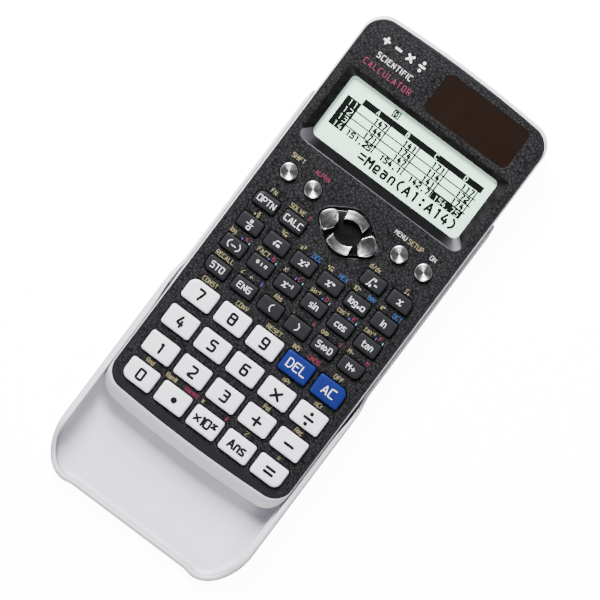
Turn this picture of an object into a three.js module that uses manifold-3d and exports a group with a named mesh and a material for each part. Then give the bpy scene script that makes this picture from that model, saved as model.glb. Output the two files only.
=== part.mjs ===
// A pocket scientific calculator whose hard cover is stowed on its back and drawn partly down.
// Millimetres. +X runs along the key rows, +Y towards the display and +Z out of the face.
// Origin: the middle of the body in plan, on the plane that the cover's underside rests on.

import * as THREE from "three";
import { mergeVertices } from "three/addons/utils/BufferGeometryUtils.js";
import Module from "manifold-3d";

const wasm = await Module();
wasm.setup();

// ---------- Driving dimensions ----------

const GAP = 0.3; // clearance between a piece and its neighbour

// Plan of the body and of the dark plate set into its face. Both ends bow out by `bow`.
const BODY = { halfWidth: 38.5, top: 83.1, bottom: -82.75, topCorner: 8.5, bottomCorner: 8.5, bow: 1.05 };
const PLATE = { halfWidth: 37.85, top: 81.7, bottom: -78, topCorner: 8, bottomCorner: 7, bow: 1 };

// Levels, from the resting plane up.
const COVER_FLOOR = 1.5;
const BACK_Z = COVER_FLOOR + 0.4;
const FACE_Z = BACK_Z + 11.1;
const SEAM_Z = 7;
const PLATE_BACK = FACE_Z - 1.9;
const CASE_DECK = PLATE_BACK - GAP;
const KEY_TOP = FACE_Z + 1.5;
const FLANGE_TOP = PLATE_BACK - 0.4;
const KEY_FOOT = FLANGE_TOP - 0.7;
const DOME_TOP = KEY_FOOT - GAP;
const MAT_TOP = 7.8;
const MAT_BACK = 6.9;
const BOARD_TOP = MAT_BACK - GAP;
const BOARD_BACK = BOARD_TOP - 1.2;
const SHELL_FLOOR = BACK_Z + 1.6;
const BATTERY_FLOOR = BACK_Z + 1.9;
const BATTERY_BLOCK_TOP = 6.8;

const RIM_TOP = FACE_Z - 0.1; // the white rim stands just below the dark plate
const SEAM = 0.1; // gap between the front case and the rear shell

// Rounding of the front case's two ends, in side view.
const END_ROUND = { bottomReach: 0.2, bottomRise: 1.2, topReach: 0.2, topDepth: 1.9 };

const WALL = 1.8; // thickness of the shells' side walls
const BACK_BEVEL = 1; // chamfer round the back
const SHELL_PLAN_SEGMENTS = 8; // fineness of the curves in the shells' plans

// Rooms inside the front case: under the keys, under the display and over the battery.
const KEY_CHAMBER = { halfWidth: 35.6, bottom: -74.4, top: 26 };
const DISPLAY_CHAMBER = { halfWidth: 35.6, bottom: 29, top: 61 };
const BATTERY_CHAMBER = { halfWidth: 31, bottom: 64, top: BODY.top - BODY.bow - WALL - 1 };

// Circuit board and key mat share one plan; posts on the rear shell carry the board.
const BOARD = {
  halfWidth: KEY_CHAMBER.halfWidth - 0.7,
  bottom: KEY_CHAMBER.bottom + 0.6,
  top: KEY_CHAMBER.top - 0.6,
};
const POSTS = { radius: 2.2, columns: [-31, 31], rows: [-70, -24, 20], sides: 8 };
const DOME = { topRadius: 1.5, footRadius: 2.6, buried: 0.4, sides: 6 };
const BURIED = 0.5; // how far an added block reaches into the floor that it stands on

// Groove along each side of the body, and the lip of the cover that runs in it.
const GROOVE = { halfWidth: 37.6, bottom: 5.2 };
const LIP = { tip: 38, low: 5.6, high: 6.6, top: 43, bottom: -96 };

// Cover: narrow rails along most of the body, a wider tray past the lower key rows.
const COVER = {
  top: 45.5,
  endHalfWidth: 38.6,
  railHalfWidth: 39.95,
  trayHalfWidth: 41,
  innerHalfWidth: 38.9,
  flareTop: -26.5,
  flareBottom: -36,
  cornerX: 28,
  cornerY: -96,
  bottom: -115.3,
  thumbHalfWidth: 24,
  thumbBottom: -114.7,
  endWall: 2.2,
  railTop: 8.2,
  trayTop: 11.5,
  endTop: 4.5,
  riseStart: -34, // where the side starts to rise from rail to tray, in side view
  riseBend: -36,
  riseEnd: -44,
  openEndLength: 6, // length of the rounding at the open end
  edgeBevel: 0.8,
};
const COVER_SEGMENTS = 6; // fineness of the curves in the cover and in the side views

// Keypad. Each block has its key size, its pitch and the middle of its first row.
const KEY_BEVEL = 0.35;
const FLANGE_OVERLAP = 0.6; // how far a key's flange reaches past its cap, under the plate
const ROUND_KEYS = { radius: 3.1, y: 17.5, columns: [-29, -18.6, 18.6, 29] };
const DARK_KEYS = { width: 9.2, height: 5.6, pitchX: 11.52, pitchY: 9.4, topRow: 4.5, corner: 1, bigCorner: 2.5 };
const NUMBER_KEYS = { width: 11.8, height: 8, pitchX: 13.85, pitchY: 11.4, topRow: -34.9, corner: 1, bigCorner: 2.9 };

// Cursor pad: a rounded rhombus with a dark well and four slots between its raised segments.
const PAD = { y: 12.8, vertexY: 9.17, slope: 0.61, topStart: 4.65, sideStart: 8.2, top: FACE_Z + 1.7 };
const PAD_DOMES = { x: 8, y: 5.4 };
const PAD_WELL = { halfWidth: 5.2, halfHeight: 4.5, floor: FACE_Z - 0.6 };
const PAD_SLOT = { x: 3.1, angle: THREE.MathUtils.degToRad(55), width: 2.05, length: 14 };
const PAD_FLANGE = { bottom: 9.5, top: 10.1, overlap: 1.2 };
const PAD_CLEARANCE = 0.6;
const PIVOT = { radius: 1.4, bottom: MAT_TOP + GAP, top: 10, socketRadius: 2.3, socketTop: 10.4 };

// Display and solar panel.
const DISPLAY = { left: -31.25, right: 31.25, bottom: 33, top: 58.1, corner: 1.5, sillZ: FACE_Z - 1.6 };
const RECESS = { left: -34.4, right: 34.4, bottom: 29.4, top: 60 };
const WINDOW = { halfWidth: 34.5, thickness: 0.9, inset: 1.2 };
const LCD = { halfWidth: 34, thickness: 1.7 };
const SOLAR = { left: -5, right: 30.2, bottom: 62.4, top: 78.1, corner: 1.5, pocket: FACE_Z - 1.1 };

// Battery bay on the back, above the cover's reach.
const DOOR = { x: -17, y: 71.4, width: 26, height: 14.4, corner: 2, thickness: 1.6, surround: 1.6 };
const CELL = { x: -20.5, radius: 5.8, height: 5.4, clearance: 0.4 };
const SCREW = { x: -7.6, headRadius: 2.2, headHeight: 0.85, shankRadius: 1, top: 6.2, sink: 1 };
const DRIVE = { length: 2.4, width: 0.5, depth: 0.5 }; // cross recess in the screw's head
const SHANK_SIDES = 12;

// ---------- Materials ----------

const plastic = (color, roughness) => new THREE.MeshStandardMaterial({ color, roughness, metalness: 0 });
const metal = (color, roughness) => new THREE.MeshStandardMaterial({ color, roughness, metalness: 1 });
const WHITE_CASE = plastic(0xe4e4e8, 0.45);
const COVER_PLASTIC = plastic(0xd2d0d8, 0.4);
const BLACK_GRAINED = plastic(0x2b2b2e, 0.6);
const BLACK_KEY = plastic(0x19191c, 0.4);
const WHITE_KEY = plastic(0xececef, 0.4);
const BLUE_KEY = plastic(0x24509c, 0.4);
const SILVER = metal(0xb9babd, 0.3);
const CLEAR_WINDOW = plastic(0xc8d2cc, 0.1);
const LCD_GLASS = plastic(0xc6d6ca, 0.25);
const SOLAR_BROWN = plastic(0x2a1d1a, 0.15);
const RUBBER = plastic(0x8b8f94, 0.9);
const BOARD_GREEN = plastic(0x1f5c38, 0.6);

// ---------- Solids ----------

const positionsOnly = (geometry) => {
  const bare = geometry.clone();
  bare.deleteAttribute("normal");
  bare.deleteAttribute("uv");
  return mergeVertices(bare);
};

const solid = (geometry) => {
  const merged = positionsOnly(geometry);
  return new wasm.Manifold(
    new wasm.Mesh({
      numProp: 3,
      vertProperties: merged.attributes.position.array,
      triVerts: new Uint32Array(merged.index.array),
    }),
  );
};

const toGeometry = (body) => {
  const mesh = body.getMesh();
  const geometry = new THREE.BufferGeometry();
  geometry.setAttribute("position", new THREE.BufferAttribute(new Float32Array(mesh.vertProperties), 3));
  geometry.setIndex(new THREE.BufferAttribute(new Uint32Array(mesh.triVerts), 1));
  geometry.computeVertexNormals();
  return geometry;
};

// An outline raised from one level to another, with an optional 45 degree chamfer at both ends.
const extrude = (shape, low, high, { bevel = 0, curveSegments = 4 } = {}) => {
  const geometry = new THREE.ExtrudeGeometry(shape, {
    depth: high - low - 2 * bevel,
    curveSegments,
    bevelEnabled: bevel > 0,
    bevelSize: bevel,
    bevelThickness: bevel,
    bevelOffset: -bevel,
    bevelSegments: 1,
  });
  return geometry.translate(0, 0, low + bevel);
};

const box = (left, right, bottom, top, low, high) =>
  new THREE.BoxGeometry(right - left, top - bottom, high - low).translate(
    (left + right) / 2,
    (bottom + top) / 2,
    (low + high) / 2,
  );

const cylinder = (x, y, radius, low, high, segments = 20) =>
  new THREE.CylinderGeometry(radius, radius, high - low, segments)
    .rotateX(Math.PI / 2)
    .translate(x, y, (low + high) / 2);

// A box whose upper face is a larger rectangle than its lower one.
const frustum = (lower, upper, low, high) => {
  const geometry = new THREE.BoxGeometry(1, 1, 1);
  const position = geometry.attributes.position;
  for (let i = 0; i < position.count; i += 1) {
    const end = position.getZ(i) > 0 ? upper : lower;
    const x = position.getX(i) > 0 ? end.right : end.left;
    const y = position.getY(i) > 0 ? end.top : end.bottom;
    position.setXYZ(i, x, y, position.getZ(i) > 0 ? high : low);
  }
  return geometry;
};

// A side view in Y and Z, carried across the full width of the calculator.
const sideView = (outline) => {
  const halfSpan = COVER.trayHalfWidth + 1;
  const settings = { depth: 2 * halfSpan, bevelEnabled: false, curveSegments: COVER_SEGMENTS };
  return new THREE.ExtrudeGeometry(outline, settings)
    .rotateY(Math.PI / 2)
    .rotateX(Math.PI / 2)
    .translate(-halfSpan, 0, 0);
};

// ---------- Outlines ----------

// Rectangle with its own radius at each corner, clockwise from the top left.
const roundedRectangle = (left, right, bottom, top, corners) => {
  const [topLeft, topRight, bottomRight, bottomLeft] = Array.isArray(corners) ? corners : Array(4).fill(corners);
  const quarter = Math.PI / 2;
  const shape = new THREE.Shape();
  shape.moveTo(left + bottomLeft, bottom);
  shape.lineTo(right - bottomRight, bottom);
  shape.absarc(right - bottomRight, bottom + bottomRight, bottomRight, -quarter, 0);
  shape.lineTo(right, top - topRight);
  shape.absarc(right - topRight, top - topRight, topRight, 0, quarter);
  shape.lineTo(left + topLeft, top);
  shape.absarc(left + topLeft, top - topLeft, topLeft, quarter, 2 * quarter);
  shape.lineTo(left, bottom + bottomLeft);
  shape.absarc(left + bottomLeft, bottom + bottomLeft, bottomLeft, 2 * quarter, 3 * quarter);
  return shape;
};

// The body's plan, grown by `grow` all round.
const bowedOutline = ({ halfWidth, top, bottom, topCorner, bottomCorner, bow }, grow = 0) => {
  const right = halfWidth + grow;
  const high = top + grow;
  const low = bottom - grow;
  const upper = topCorner + grow;
  const lower = bottomCorner + grow;
  const quarter = Math.PI / 2;
  const shape = new THREE.Shape();
  shape.moveTo(-right + lower, low + bow);
  shape.quadraticCurveTo(0, low - bow, right - lower, low + bow);
  shape.absarc(right - lower, low + bow + lower, lower, -quarter, 0);
  shape.lineTo(right, high - bow - upper);
  shape.absarc(right - upper, high - bow - upper, upper, 0, quarter);
  shape.quadraticCurveTo(0, high + bow, -right + upper, high - bow);
  shape.absarc(-right + upper, high - bow - upper, upper, quarter, 2 * quarter);
  shape.lineTo(-right, low + bow + lower);
  shape.absarc(-right + lower, low + bow + lower, lower, 2 * quarter, 3 * quarter);
  return shape;
};

// The cursor pad's rounded rhombus, its straight sides moved out by `grow`.
const padOutline = (grow = 0) => {
  const vertexY = PAD.vertexY + grow * Math.hypot(1, PAD.slope);
  const vertexX = vertexY / PAD.slope;
  const sideY = (x) => vertexY - PAD.slope * x;
  const shape = new THREE.Shape();
  shape.moveTo(PAD.sideStart, -sideY(PAD.sideStart));
  shape.quadraticCurveTo(vertexX, 0, PAD.sideStart, sideY(PAD.sideStart));
  shape.lineTo(PAD.topStart, sideY(PAD.topStart));
  shape.quadraticCurveTo(0, vertexY, -PAD.topStart, sideY(PAD.topStart));
  shape.lineTo(-PAD.sideStart, sideY(PAD.sideStart));
  shape.quadraticCurveTo(-vertexX, 0, -PAD.sideStart, -sideY(PAD.sideStart));
  shape.lineTo(-PAD.topStart, -sideY(PAD.topStart));
  shape.quadraticCurveTo(0, -vertexY, PAD.topStart, -sideY(PAD.topStart));
  return shape;
};

// ---------- Key table ----------

// Every key as { name, x, y, width, height, corners, material }, or with a radius for the round ones.
const blockOfKeys = (block, columns, rows, material, bigCorners) => {
  const keys = [];
  rows.forEach((names, row) => {
    names.forEach((name, column) => {
      if (!name) return;
      keys.push({
        name: `key_${name}`,
        x: (column - (columns - 1) / 2) * block.pitchX,
        y: block.topRow - row * block.pitchY,
        width: block.width,
        height: block.height,
        corners: [0, 1, 2, 3].map((corner) => (bigCorners[name] === corner ? block.bigCorner : block.corner)),
        material,
      });
    });
  });
  return keys;
};

const DARK_ROWS = [
  ["optn", "calc", null, null, "integral", "variable_x"],
  ["fraction", "root", "square", "power", "log", "ln"],
  ["negative", "degrees", "reciprocal", "sin", "cos", "tan"],
  ["store", "eng", "bracket_open", "bracket_close", "format", "memory_plus"],
];
const NUMBER_ROWS = [
  ["7", "8", "9", "delete", "clear"],
  ["4", "5", "6", "multiply", "divide"],
  ["1", "2", "3", "plus", "minus"],
  ["0", "point", "exponent", "answer", "equals"],
];
const [TOP_LEFT, TOP_RIGHT, BOTTOM_RIGHT, BOTTOM_LEFT] = [0, 1, 2, 3];

const roundKeys = ["shift", "alpha", "menu", "on"].map((name, i) => ({
  name: `key_${name}`,
  x: ROUND_KEYS.columns[i],
  y: ROUND_KEYS.y,
  radius: ROUND_KEYS.radius,
  material: SILVER,
}));
const darkKeys = blockOfKeys(DARK_KEYS, 6, DARK_ROWS, BLACK_KEY, {
  optn: TOP_LEFT,
  variable_x: TOP_RIGHT,
  store: BOTTOM_LEFT,
  memory_plus: BOTTOM_RIGHT,
});
const numberKeys = blockOfKeys(NUMBER_KEYS, 5, NUMBER_ROWS, WHITE_KEY, {
  7: TOP_LEFT,
  clear: TOP_RIGHT,
  0: BOTTOM_LEFT,
  equals: BOTTOM_RIGHT,
});
numberKeys
  .filter((key) => key.name === "key_delete" || key.name === "key_clear")
  .forEach((key) => {
    key.material = BLUE_KEY;
  });
const KEYS = [...roundKeys, ...darkKeys, ...numberKeys];

// A rectangular key's outline about its own middle, grown by `grow`.
const keyOutline = ({ width, height, corners }, grow = 0) =>
  roundedRectangle(
    -width / 2 - grow,
    width / 2 + grow,
    -height / 2 - grow,
    height / 2 + grow,
    corners.map((radius) => radius + grow),
  );

const moved = (shape, x, y, curveSegments) =>
  new THREE.Path(shape.getPoints(curveSegments).map((point) => new THREE.Vector2(point.x + x, point.y + y)));

// ---------- Pieces ----------

const calculator = new THREE.Group();

const addMesh = (parent, name, geometry, material) => {
  const mesh = new THREE.Mesh(geometry, material);
  mesh.name = name;
  parent.add(mesh);
  return mesh;
};

const RECTANGLE_SEGMENTS = 1; // a curve of n segments gives an arc 2n chords
const ROUND_SEGMENTS = 14; // sides of a turned piece

// Cap with a chamfered rim on a flange that the plate holds back.
const rectangularKey = (key) => {
  const cap = solid(
    extrude(keyOutline(key), KEY_FOOT, KEY_TOP, { bevel: KEY_BEVEL, curveSegments: RECTANGLE_SEGMENTS }),
  );
  const halfWidth = key.width / 2 + FLANGE_OVERLAP;
  const halfHeight = key.height / 2 + FLANGE_OVERLAP;
  const flange = solid(box(-halfWidth, halfWidth, -halfHeight, halfHeight, KEY_FOOT, FLANGE_TOP));
  return toGeometry(cap.add(flange));
};

// Turned cap with a shallow cone sunk in its top.
const roundKey = ({ radius }) => {
  const coneDepth = 0.3;
  const profile = [
    [0, KEY_FOOT],
    [radius + FLANGE_OVERLAP, KEY_FOOT],
    [radius + FLANGE_OVERLAP, FLANGE_TOP],
    [radius, FLANGE_TOP],
    [radius, KEY_TOP - KEY_BEVEL],
    [radius - KEY_BEVEL, KEY_TOP],
    [0, KEY_TOP - coneDepth],
  ].map(([r, z]) => new THREE.Vector2(r, z));
  return new THREE.LatheGeometry(profile, ROUND_SEGMENTS).rotateX(Math.PI / 2);
};

const addKeys = () => {
  KEYS.forEach((key) => {
    const geometry = key.radius ? roundKey(key) : rectangularKey(key);
    addMesh(calculator, key.name, geometry, key.material).position.set(key.x, key.y, 0);
  });
};

const addCursorPad = () => {
  const group = new THREE.Group();
  group.position.set(0, PAD.y, 0);
  calculator.add(group);

  const wellTop = PAD.top + 1;
  const ellipse = new THREE.Shape().absellipse(0, 0, PAD_WELL.halfWidth, PAD_WELL.halfHeight, 0, 2 * Math.PI);
  let pad = solid(extrude(padOutline(), PAD_FLANGE.bottom, PAD.top, { bevel: KEY_BEVEL }))
    .add(solid(extrude(padOutline(PAD_FLANGE.overlap), PAD_FLANGE.bottom, PAD_FLANGE.top)))
    .subtract(solid(extrude(ellipse, PAD_WELL.floor, wellTop)))
    .subtract(solid(cylinder(0, 0, PIVOT.socketRadius, PAD_FLANGE.bottom - 1, PIVOT.socketTop, ROUND_SEGMENTS)));
  for (const sideX of [-1, 1]) {
    for (const sideY of [-1, 1]) {
      const slot = box(0, PAD_SLOT.length, -PAD_SLOT.width / 2, PAD_SLOT.width / 2, PAD_WELL.floor, wellTop)
        .rotateZ(Math.atan2(sideY * Math.sin(PAD_SLOT.angle), sideX * Math.cos(PAD_SLOT.angle)))
        .translate(sideX * PAD_SLOT.x, 0, 0);
      pad = pad.subtract(solid(slot));
    }
  }
  addMesh(group, "cursor_pad", toGeometry(pad), SILVER);
  addMesh(group, "cursor_pivot", cylinder(0, 0, PIVOT.radius, PIVOT.bottom, PIVOT.top, ROUND_SEGMENTS), RUBBER);
};

const addFacePlate = () => {
  const outline = bowedOutline(PLATE);
  const curveSegments = 5;
  KEYS.forEach((key) => {
    const hole = key.radius
      ? new THREE.Path().absarc(0, 0, key.radius + GAP, 0, 2 * Math.PI)
      : keyOutline(key, GAP);
    outline.holes.push(moved(hole, key.x, key.y, key.radius ? ROUND_SEGMENTS / 2 : RECTANGLE_SEGMENTS));
  });
  outline.holes.push(moved(padOutline(PAD_CLEARANCE), 0, PAD.y, curveSegments));
  outline.holes.push(
    roundedRectangle(DISPLAY.left, DISPLAY.right, DISPLAY.bottom, DISPLAY.top, DISPLAY.corner),
  );
  const solarPocket = roundedRectangle(
    SOLAR.left - GAP,
    SOLAR.right + GAP,
    SOLAR.bottom - GAP,
    SOLAR.top + GAP,
    SOLAR.corner,
  );
  const plate = solid(extrude(outline, PLATE_BACK, FACE_Z, { curveSegments }))
    .subtract(solid(frustum(DISPLAY, RECESS, DISPLAY.sillZ, FACE_Z)))
    .subtract(solid(box(RECESS.left, RECESS.right, RECESS.bottom, RECESS.top, FACE_Z - 1e-3, FACE_Z + 1)))
    .subtract(solid(extrude(solarPocket, SOLAR.pocket, FACE_Z + 1)));
  addMesh(calculator, "face_plate", toGeometry(plate), BLACK_GRAINED);
};

// White frame: a rounded lower end, a small rounding at the top, and chambers for keys and display.
const addFrontCase = () => {
  const bottomRound = { y: PLATE.bottom - END_ROUND.bottomReach, z: SEAM_Z + END_ROUND.bottomRise };
  const topRound = { y: PLATE.top + END_ROUND.topReach, z: RIM_TOP - END_ROUND.topDepth };
  const low = SEAM_Z + SEAM;
  const quarter = Math.PI / 2;
  const side = new THREE.Shape();
  side.moveTo(BODY.bottom, low);
  side.lineTo(BODY.top, low);
  side.absellipse(topRound.y, topRound.z, BODY.top - topRound.y, RIM_TOP - topRound.z, 0, quarter);
  side.absellipse(
    bottomRound.y,
    bottomRound.z,
    bottomRound.y - BODY.bottom,
    RIM_TOP - bottomRound.z,
    quarter,
    2 * quarter,
  );
  const chamber = ({ halfWidth, bottom, top }) => solid(box(-halfWidth, halfWidth, bottom, top, low - 1, FACE_Z));
  const curves = { curveSegments: SHELL_PLAN_SEGMENTS };
  const plan = (outline, bottom) => solid(extrude(outline, bottom, FACE_Z + 1, curves));
  const frame = plan(bowedOutline(BODY), low)
    .intersect(solid(sideView(side)))
    .subtract(plan(bowedOutline(PLATE, GAP), CASE_DECK))
    .subtract(chamber(KEY_CHAMBER))
    .subtract(chamber(DISPLAY_CHAMBER))
    .subtract(chamber(BATTERY_CHAMBER));
  addMesh(calculator, "front_case", toGeometry(frame), WHITE_CASE);
};

// White tray with a groove along each side for the cover, posts for the board and a battery bay.
const addRearShell = () => {
  const aboveSeam = SEAM_Z + 1;
  const grooveCut = (side) => {
    const edges = [side * GROOVE.halfWidth, side * (BODY.halfWidth + 1)].sort((a, b) => a - b);
    return solid(box(...edges, BODY.bottom - 1, BODY.top + 1, GROOVE.bottom, aboveSeam));
  };
  const hull = bowedOutline({ ...BODY, halfWidth: BODY.halfWidth - GAP });
  const cavity = bowedOutline(BODY, GROOVE.halfWidth - BODY.halfWidth - WALL);
  let shell = solid(extrude(hull, BACK_Z, aboveSeam, { bevel: BACK_BEVEL, curveSegments: SHELL_PLAN_SEGMENTS }))
    .intersect(solid(box(-BODY.halfWidth, BODY.halfWidth, BODY.bottom - 1, BODY.top + 1, 0, SEAM_Z)))
    .subtract(solid(extrude(cavity, SHELL_FLOOR, aboveSeam + 1, { curveSegments: SHELL_PLAN_SEGMENTS })))
    .subtract(grooveCut(-1))
    .subtract(grooveCut(1));
  for (const x of POSTS.columns) {
    for (const y of POSTS.rows) {
      const post = cylinder(x, y, POSTS.radius, SHELL_FLOOR - BURIED, BOARD_BACK - GAP, POSTS.sides);
      shell = shell.add(solid(post));
    }
  }
  const doorway = (grow, low, high) =>
    solid(extrude(doorOutline(grow), low, high, { curveSegments: RECTANGLE_SEGMENTS }));
  const bore = (x, radius, sides) => solid(cylinder(x, DOOR.y, radius, BATTERY_FLOOR - 1, aboveSeam, sides));
  shell = shell
    .add(doorway(DOOR.surround, SHELL_FLOOR - BURIED, BATTERY_BLOCK_TOP))
    .subtract(doorway(GAP, BACK_Z - 1, BATTERY_FLOOR))
    .subtract(bore(CELL.x, CELL.radius + CELL.clearance))
    .subtract(bore(SCREW.x, SCREW.shankRadius + GAP, SHANK_SIDES));
  addMesh(calculator, "rear_shell", toGeometry(shell), WHITE_CASE);
};

// The battery cover's outline, grown by `grow`.
const doorOutline = (grow = 0) =>
  roundedRectangle(
    DOOR.x - DOOR.width / 2 - grow,
    DOOR.x + DOOR.width / 2 + grow,
    DOOR.y - DOOR.height / 2 - grow,
    DOOR.y + DOOR.height / 2 + grow,
    DOOR.corner,
  );

const addBattery = () => {
  const doorTop = BACK_Z + DOOR.thickness;
  const screwHole = (radius, low, high, sides) => solid(cylinder(SCREW.x, DOOR.y, radius, low, high, sides));
  const door = solid(extrude(doorOutline(), BACK_Z, doorTop, { curveSegments: RECTANGLE_SEGMENTS }))
    .subtract(screwHole(SCREW.headRadius + GAP, BACK_Z - 1, BACK_Z + SCREW.sink))
    .subtract(screwHole(SCREW.shankRadius + GAP, BACK_Z, doorTop + 1, SHANK_SIDES));
  addMesh(calculator, "battery_cover", toGeometry(door), WHITE_CASE);

  const headTop = BACK_Z + SCREW.headHeight;
  const head = solid(cylinder(SCREW.x, DOOR.y, SCREW.headRadius, BACK_Z, headTop));
  const shank = solid(cylinder(SCREW.x, DOOR.y, SCREW.shankRadius, headTop - 0.2, SCREW.top, SHANK_SIDES));
  const drive = (width, height) =>
    solid(
      box(
        SCREW.x - width / 2,
        SCREW.x + width / 2,
        DOOR.y - height / 2,
        DOOR.y + height / 2,
        BACK_Z - 1,
        BACK_Z + DRIVE.depth,
      ),
    );
  const screw = head
    .add(shank)
    .subtract(drive(DRIVE.length, DRIVE.width))
    .subtract(drive(DRIVE.width, DRIVE.length));
  addMesh(calculator, "battery_cover_screw", toGeometry(screw), SILVER);

  const cellLow = doorTop + CELL.clearance;
  const cell = cylinder(CELL.x, DOOR.y, CELL.radius, cellLow, cellLow + CELL.height);
  addMesh(calculator, "coin_cell", cell, SILVER);
};

const addDisplay = () => {
  const windowTop = CASE_DECK;
  const windowBack = windowTop - WINDOW.thickness;
  const glassTop = windowBack - GAP;
  const bottom = DISPLAY_CHAMBER.bottom + WINDOW.inset;
  const top = DISPLAY_CHAMBER.top - WINDOW.inset;
  const pane = (halfWidth, low, high) => box(-halfWidth, halfWidth, bottom, top, low, high);
  addMesh(calculator, "display_window", pane(WINDOW.halfWidth, windowBack, windowTop), CLEAR_WINDOW);
  addMesh(calculator, "lcd_panel", pane(LCD.halfWidth, glassTop - LCD.thickness, glassTop), LCD_GLASS);
  const cell = roundedRectangle(SOLAR.left, SOLAR.right, SOLAR.bottom, SOLAR.top, SOLAR.corner);
  const solarPanel = extrude(cell, SOLAR.pocket + GAP, RIM_TOP, { curveSegments: RECTANGLE_SEGMENTS });
  addMesh(calculator, "solar_cell", solarPanel, SOLAR_BROWN);
};

// Circuit board, and the rubber sheet on it with a dome under each key and each arm of the pad.
const addKeySwitches = () => {
  const sheet = (low, high) => box(-BOARD.halfWidth, BOARD.halfWidth, BOARD.bottom, BOARD.top, low, high);
  addMesh(calculator, "circuit_board", sheet(BOARD_BACK, BOARD_TOP), BOARD_GREEN);
  const padDomes = [
    [PAD_DOMES.x, 0],
    [-PAD_DOMES.x, 0],
    [0, PAD_DOMES.y],
    [0, -PAD_DOMES.y],
  ].map(([x, y]) => ({ x, y: PAD.y + y, top: PAD_FLANGE.bottom - GAP }));
  const keyDomes = KEYS.map(({ x, y }) => ({ x, y, top: DOME_TOP }));
  let mat = solid(sheet(MAT_BACK, MAT_TOP));
  [...keyDomes, ...padDomes].forEach(({ x, y, top }) => {
    const height = top - MAT_TOP + DOME.buried;
    const dome = new THREE.CylinderGeometry(DOME.topRadius, DOME.footRadius, height, DOME.sides)
      .rotateX(Math.PI / 2)
      .translate(x, y, top - height / 2);
    mat = mat.add(solid(dome));
  });
  addMesh(calculator, "key_mat", toGeometry(mat), RUBBER);
};

// Plan of the cover's outside: rails, flare, wider tray, elliptical corners, hollow for the thumb.
const coverOutline = () => {
  const c = COVER;
  const radiusX = c.trayHalfWidth - c.cornerX;
  const radiusY = c.cornerY - c.bottom;
  const middle = (c.flareTop + c.flareBottom) / 2;
  const openBend = c.top - c.openEndLength / 3;
  const quarter = Math.PI / 2;
  const shape = new THREE.Shape();
  shape.moveTo(c.thumbHalfWidth, c.thumbBottom);
  shape.bezierCurveTo(c.thumbHalfWidth + 2, c.thumbBottom, c.cornerX - 2, c.bottom, c.cornerX, c.bottom);
  shape.absellipse(c.cornerX, c.cornerY, radiusX, radiusY, -quarter, 0);
  shape.lineTo(c.trayHalfWidth, c.flareBottom);
  shape.bezierCurveTo(c.trayHalfWidth, middle, c.railHalfWidth, middle, c.railHalfWidth, c.flareTop);
  shape.lineTo(c.railHalfWidth, c.top - c.openEndLength);
  shape.quadraticCurveTo(c.railHalfWidth, openBend, c.endHalfWidth, c.top);
  shape.lineTo(-c.endHalfWidth, c.top);
  shape.quadraticCurveTo(-c.railHalfWidth, openBend, -c.railHalfWidth, c.top - c.openEndLength);
  shape.lineTo(-c.railHalfWidth, c.flareTop);
  shape.bezierCurveTo(-c.railHalfWidth, middle, -c.trayHalfWidth, middle, -c.trayHalfWidth, c.flareBottom);
  shape.lineTo(-c.trayHalfWidth, c.cornerY);
  shape.absellipse(-c.cornerX, c.cornerY, radiusX, radiusY, 2 * quarter, 3 * quarter);
  shape.bezierCurveTo(-c.cornerX + 2, c.bottom, -c.thumbHalfWidth - 2, c.thumbBottom, -c.thumbHalfWidth, c.thumbBottom);
  return shape;
};

// Plan of the room inside the cover, open at the top end.
const coverRoom = () => {
  const c = COVER;
  const radiusX = c.innerHalfWidth - c.cornerX;
  const radiusY = c.cornerY - c.bottom - c.endWall;
  const quarter = Math.PI / 2;
  const shape = new THREE.Shape();
  shape.moveTo(-c.cornerX, c.cornerY - radiusY);
  shape.absellipse(c.cornerX, c.cornerY, radiusX, radiusY, -quarter, 0);
  shape.lineTo(c.innerHalfWidth, c.top + 1);
  shape.lineTo(-c.innerHalfWidth, c.top + 1);
  shape.absellipse(-c.cornerX, c.cornerY, radiusX, radiusY, 2 * quarter, 3 * quarter);
  return shape;
};

const addSlideCover = () => {
  const c = COVER;
  const side = new THREE.Shape();
  side.moveTo(c.bottom - 1, -1);
  side.lineTo(c.top + 1, -1);
  side.lineTo(c.top + 1, c.railTop);
  side.lineTo(c.flareTop, c.railTop);
  side.bezierCurveTo(c.riseStart, c.railTop, c.riseBend, c.trayTop, c.riseEnd, c.trayTop);
  side.lineTo(c.cornerY, c.trayTop);
  side.bezierCurveTo(c.cornerY - 8, c.trayTop, c.cornerY - 10, c.endTop, c.thumbBottom, c.endTop);
  side.lineTo(c.bottom - 1, c.endTop);
  const lip = (side) => {
    const edges = [side * LIP.tip, side * (c.innerHalfWidth + BURIED)].sort((a, b) => a - b);
    return solid(box(...edges, LIP.bottom, LIP.top, LIP.low, LIP.high));
  };
  const hull = extrude(coverOutline(), 0, c.trayTop + 2, { bevel: c.edgeBevel, curveSegments: COVER_SEGMENTS });
  const cover = solid(hull)
    .intersect(solid(sideView(side)))
    .subtract(solid(extrude(coverRoom(), COVER_FLOOR, c.trayTop + 3, { curveSegments: COVER_SEGMENTS })))
    .add(lip(-1))
    .add(lip(1));
  addMesh(calculator, "slide_cover", toGeometry(cover), COVER_PLASTIC);
};

addSlideCover();
addRearShell();
addFrontCase();
addFacePlate();
addDisplay();
addKeySwitches();
addBattery();
addKeys();
addCursorPad();

export default calculator;
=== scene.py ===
import math

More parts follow.
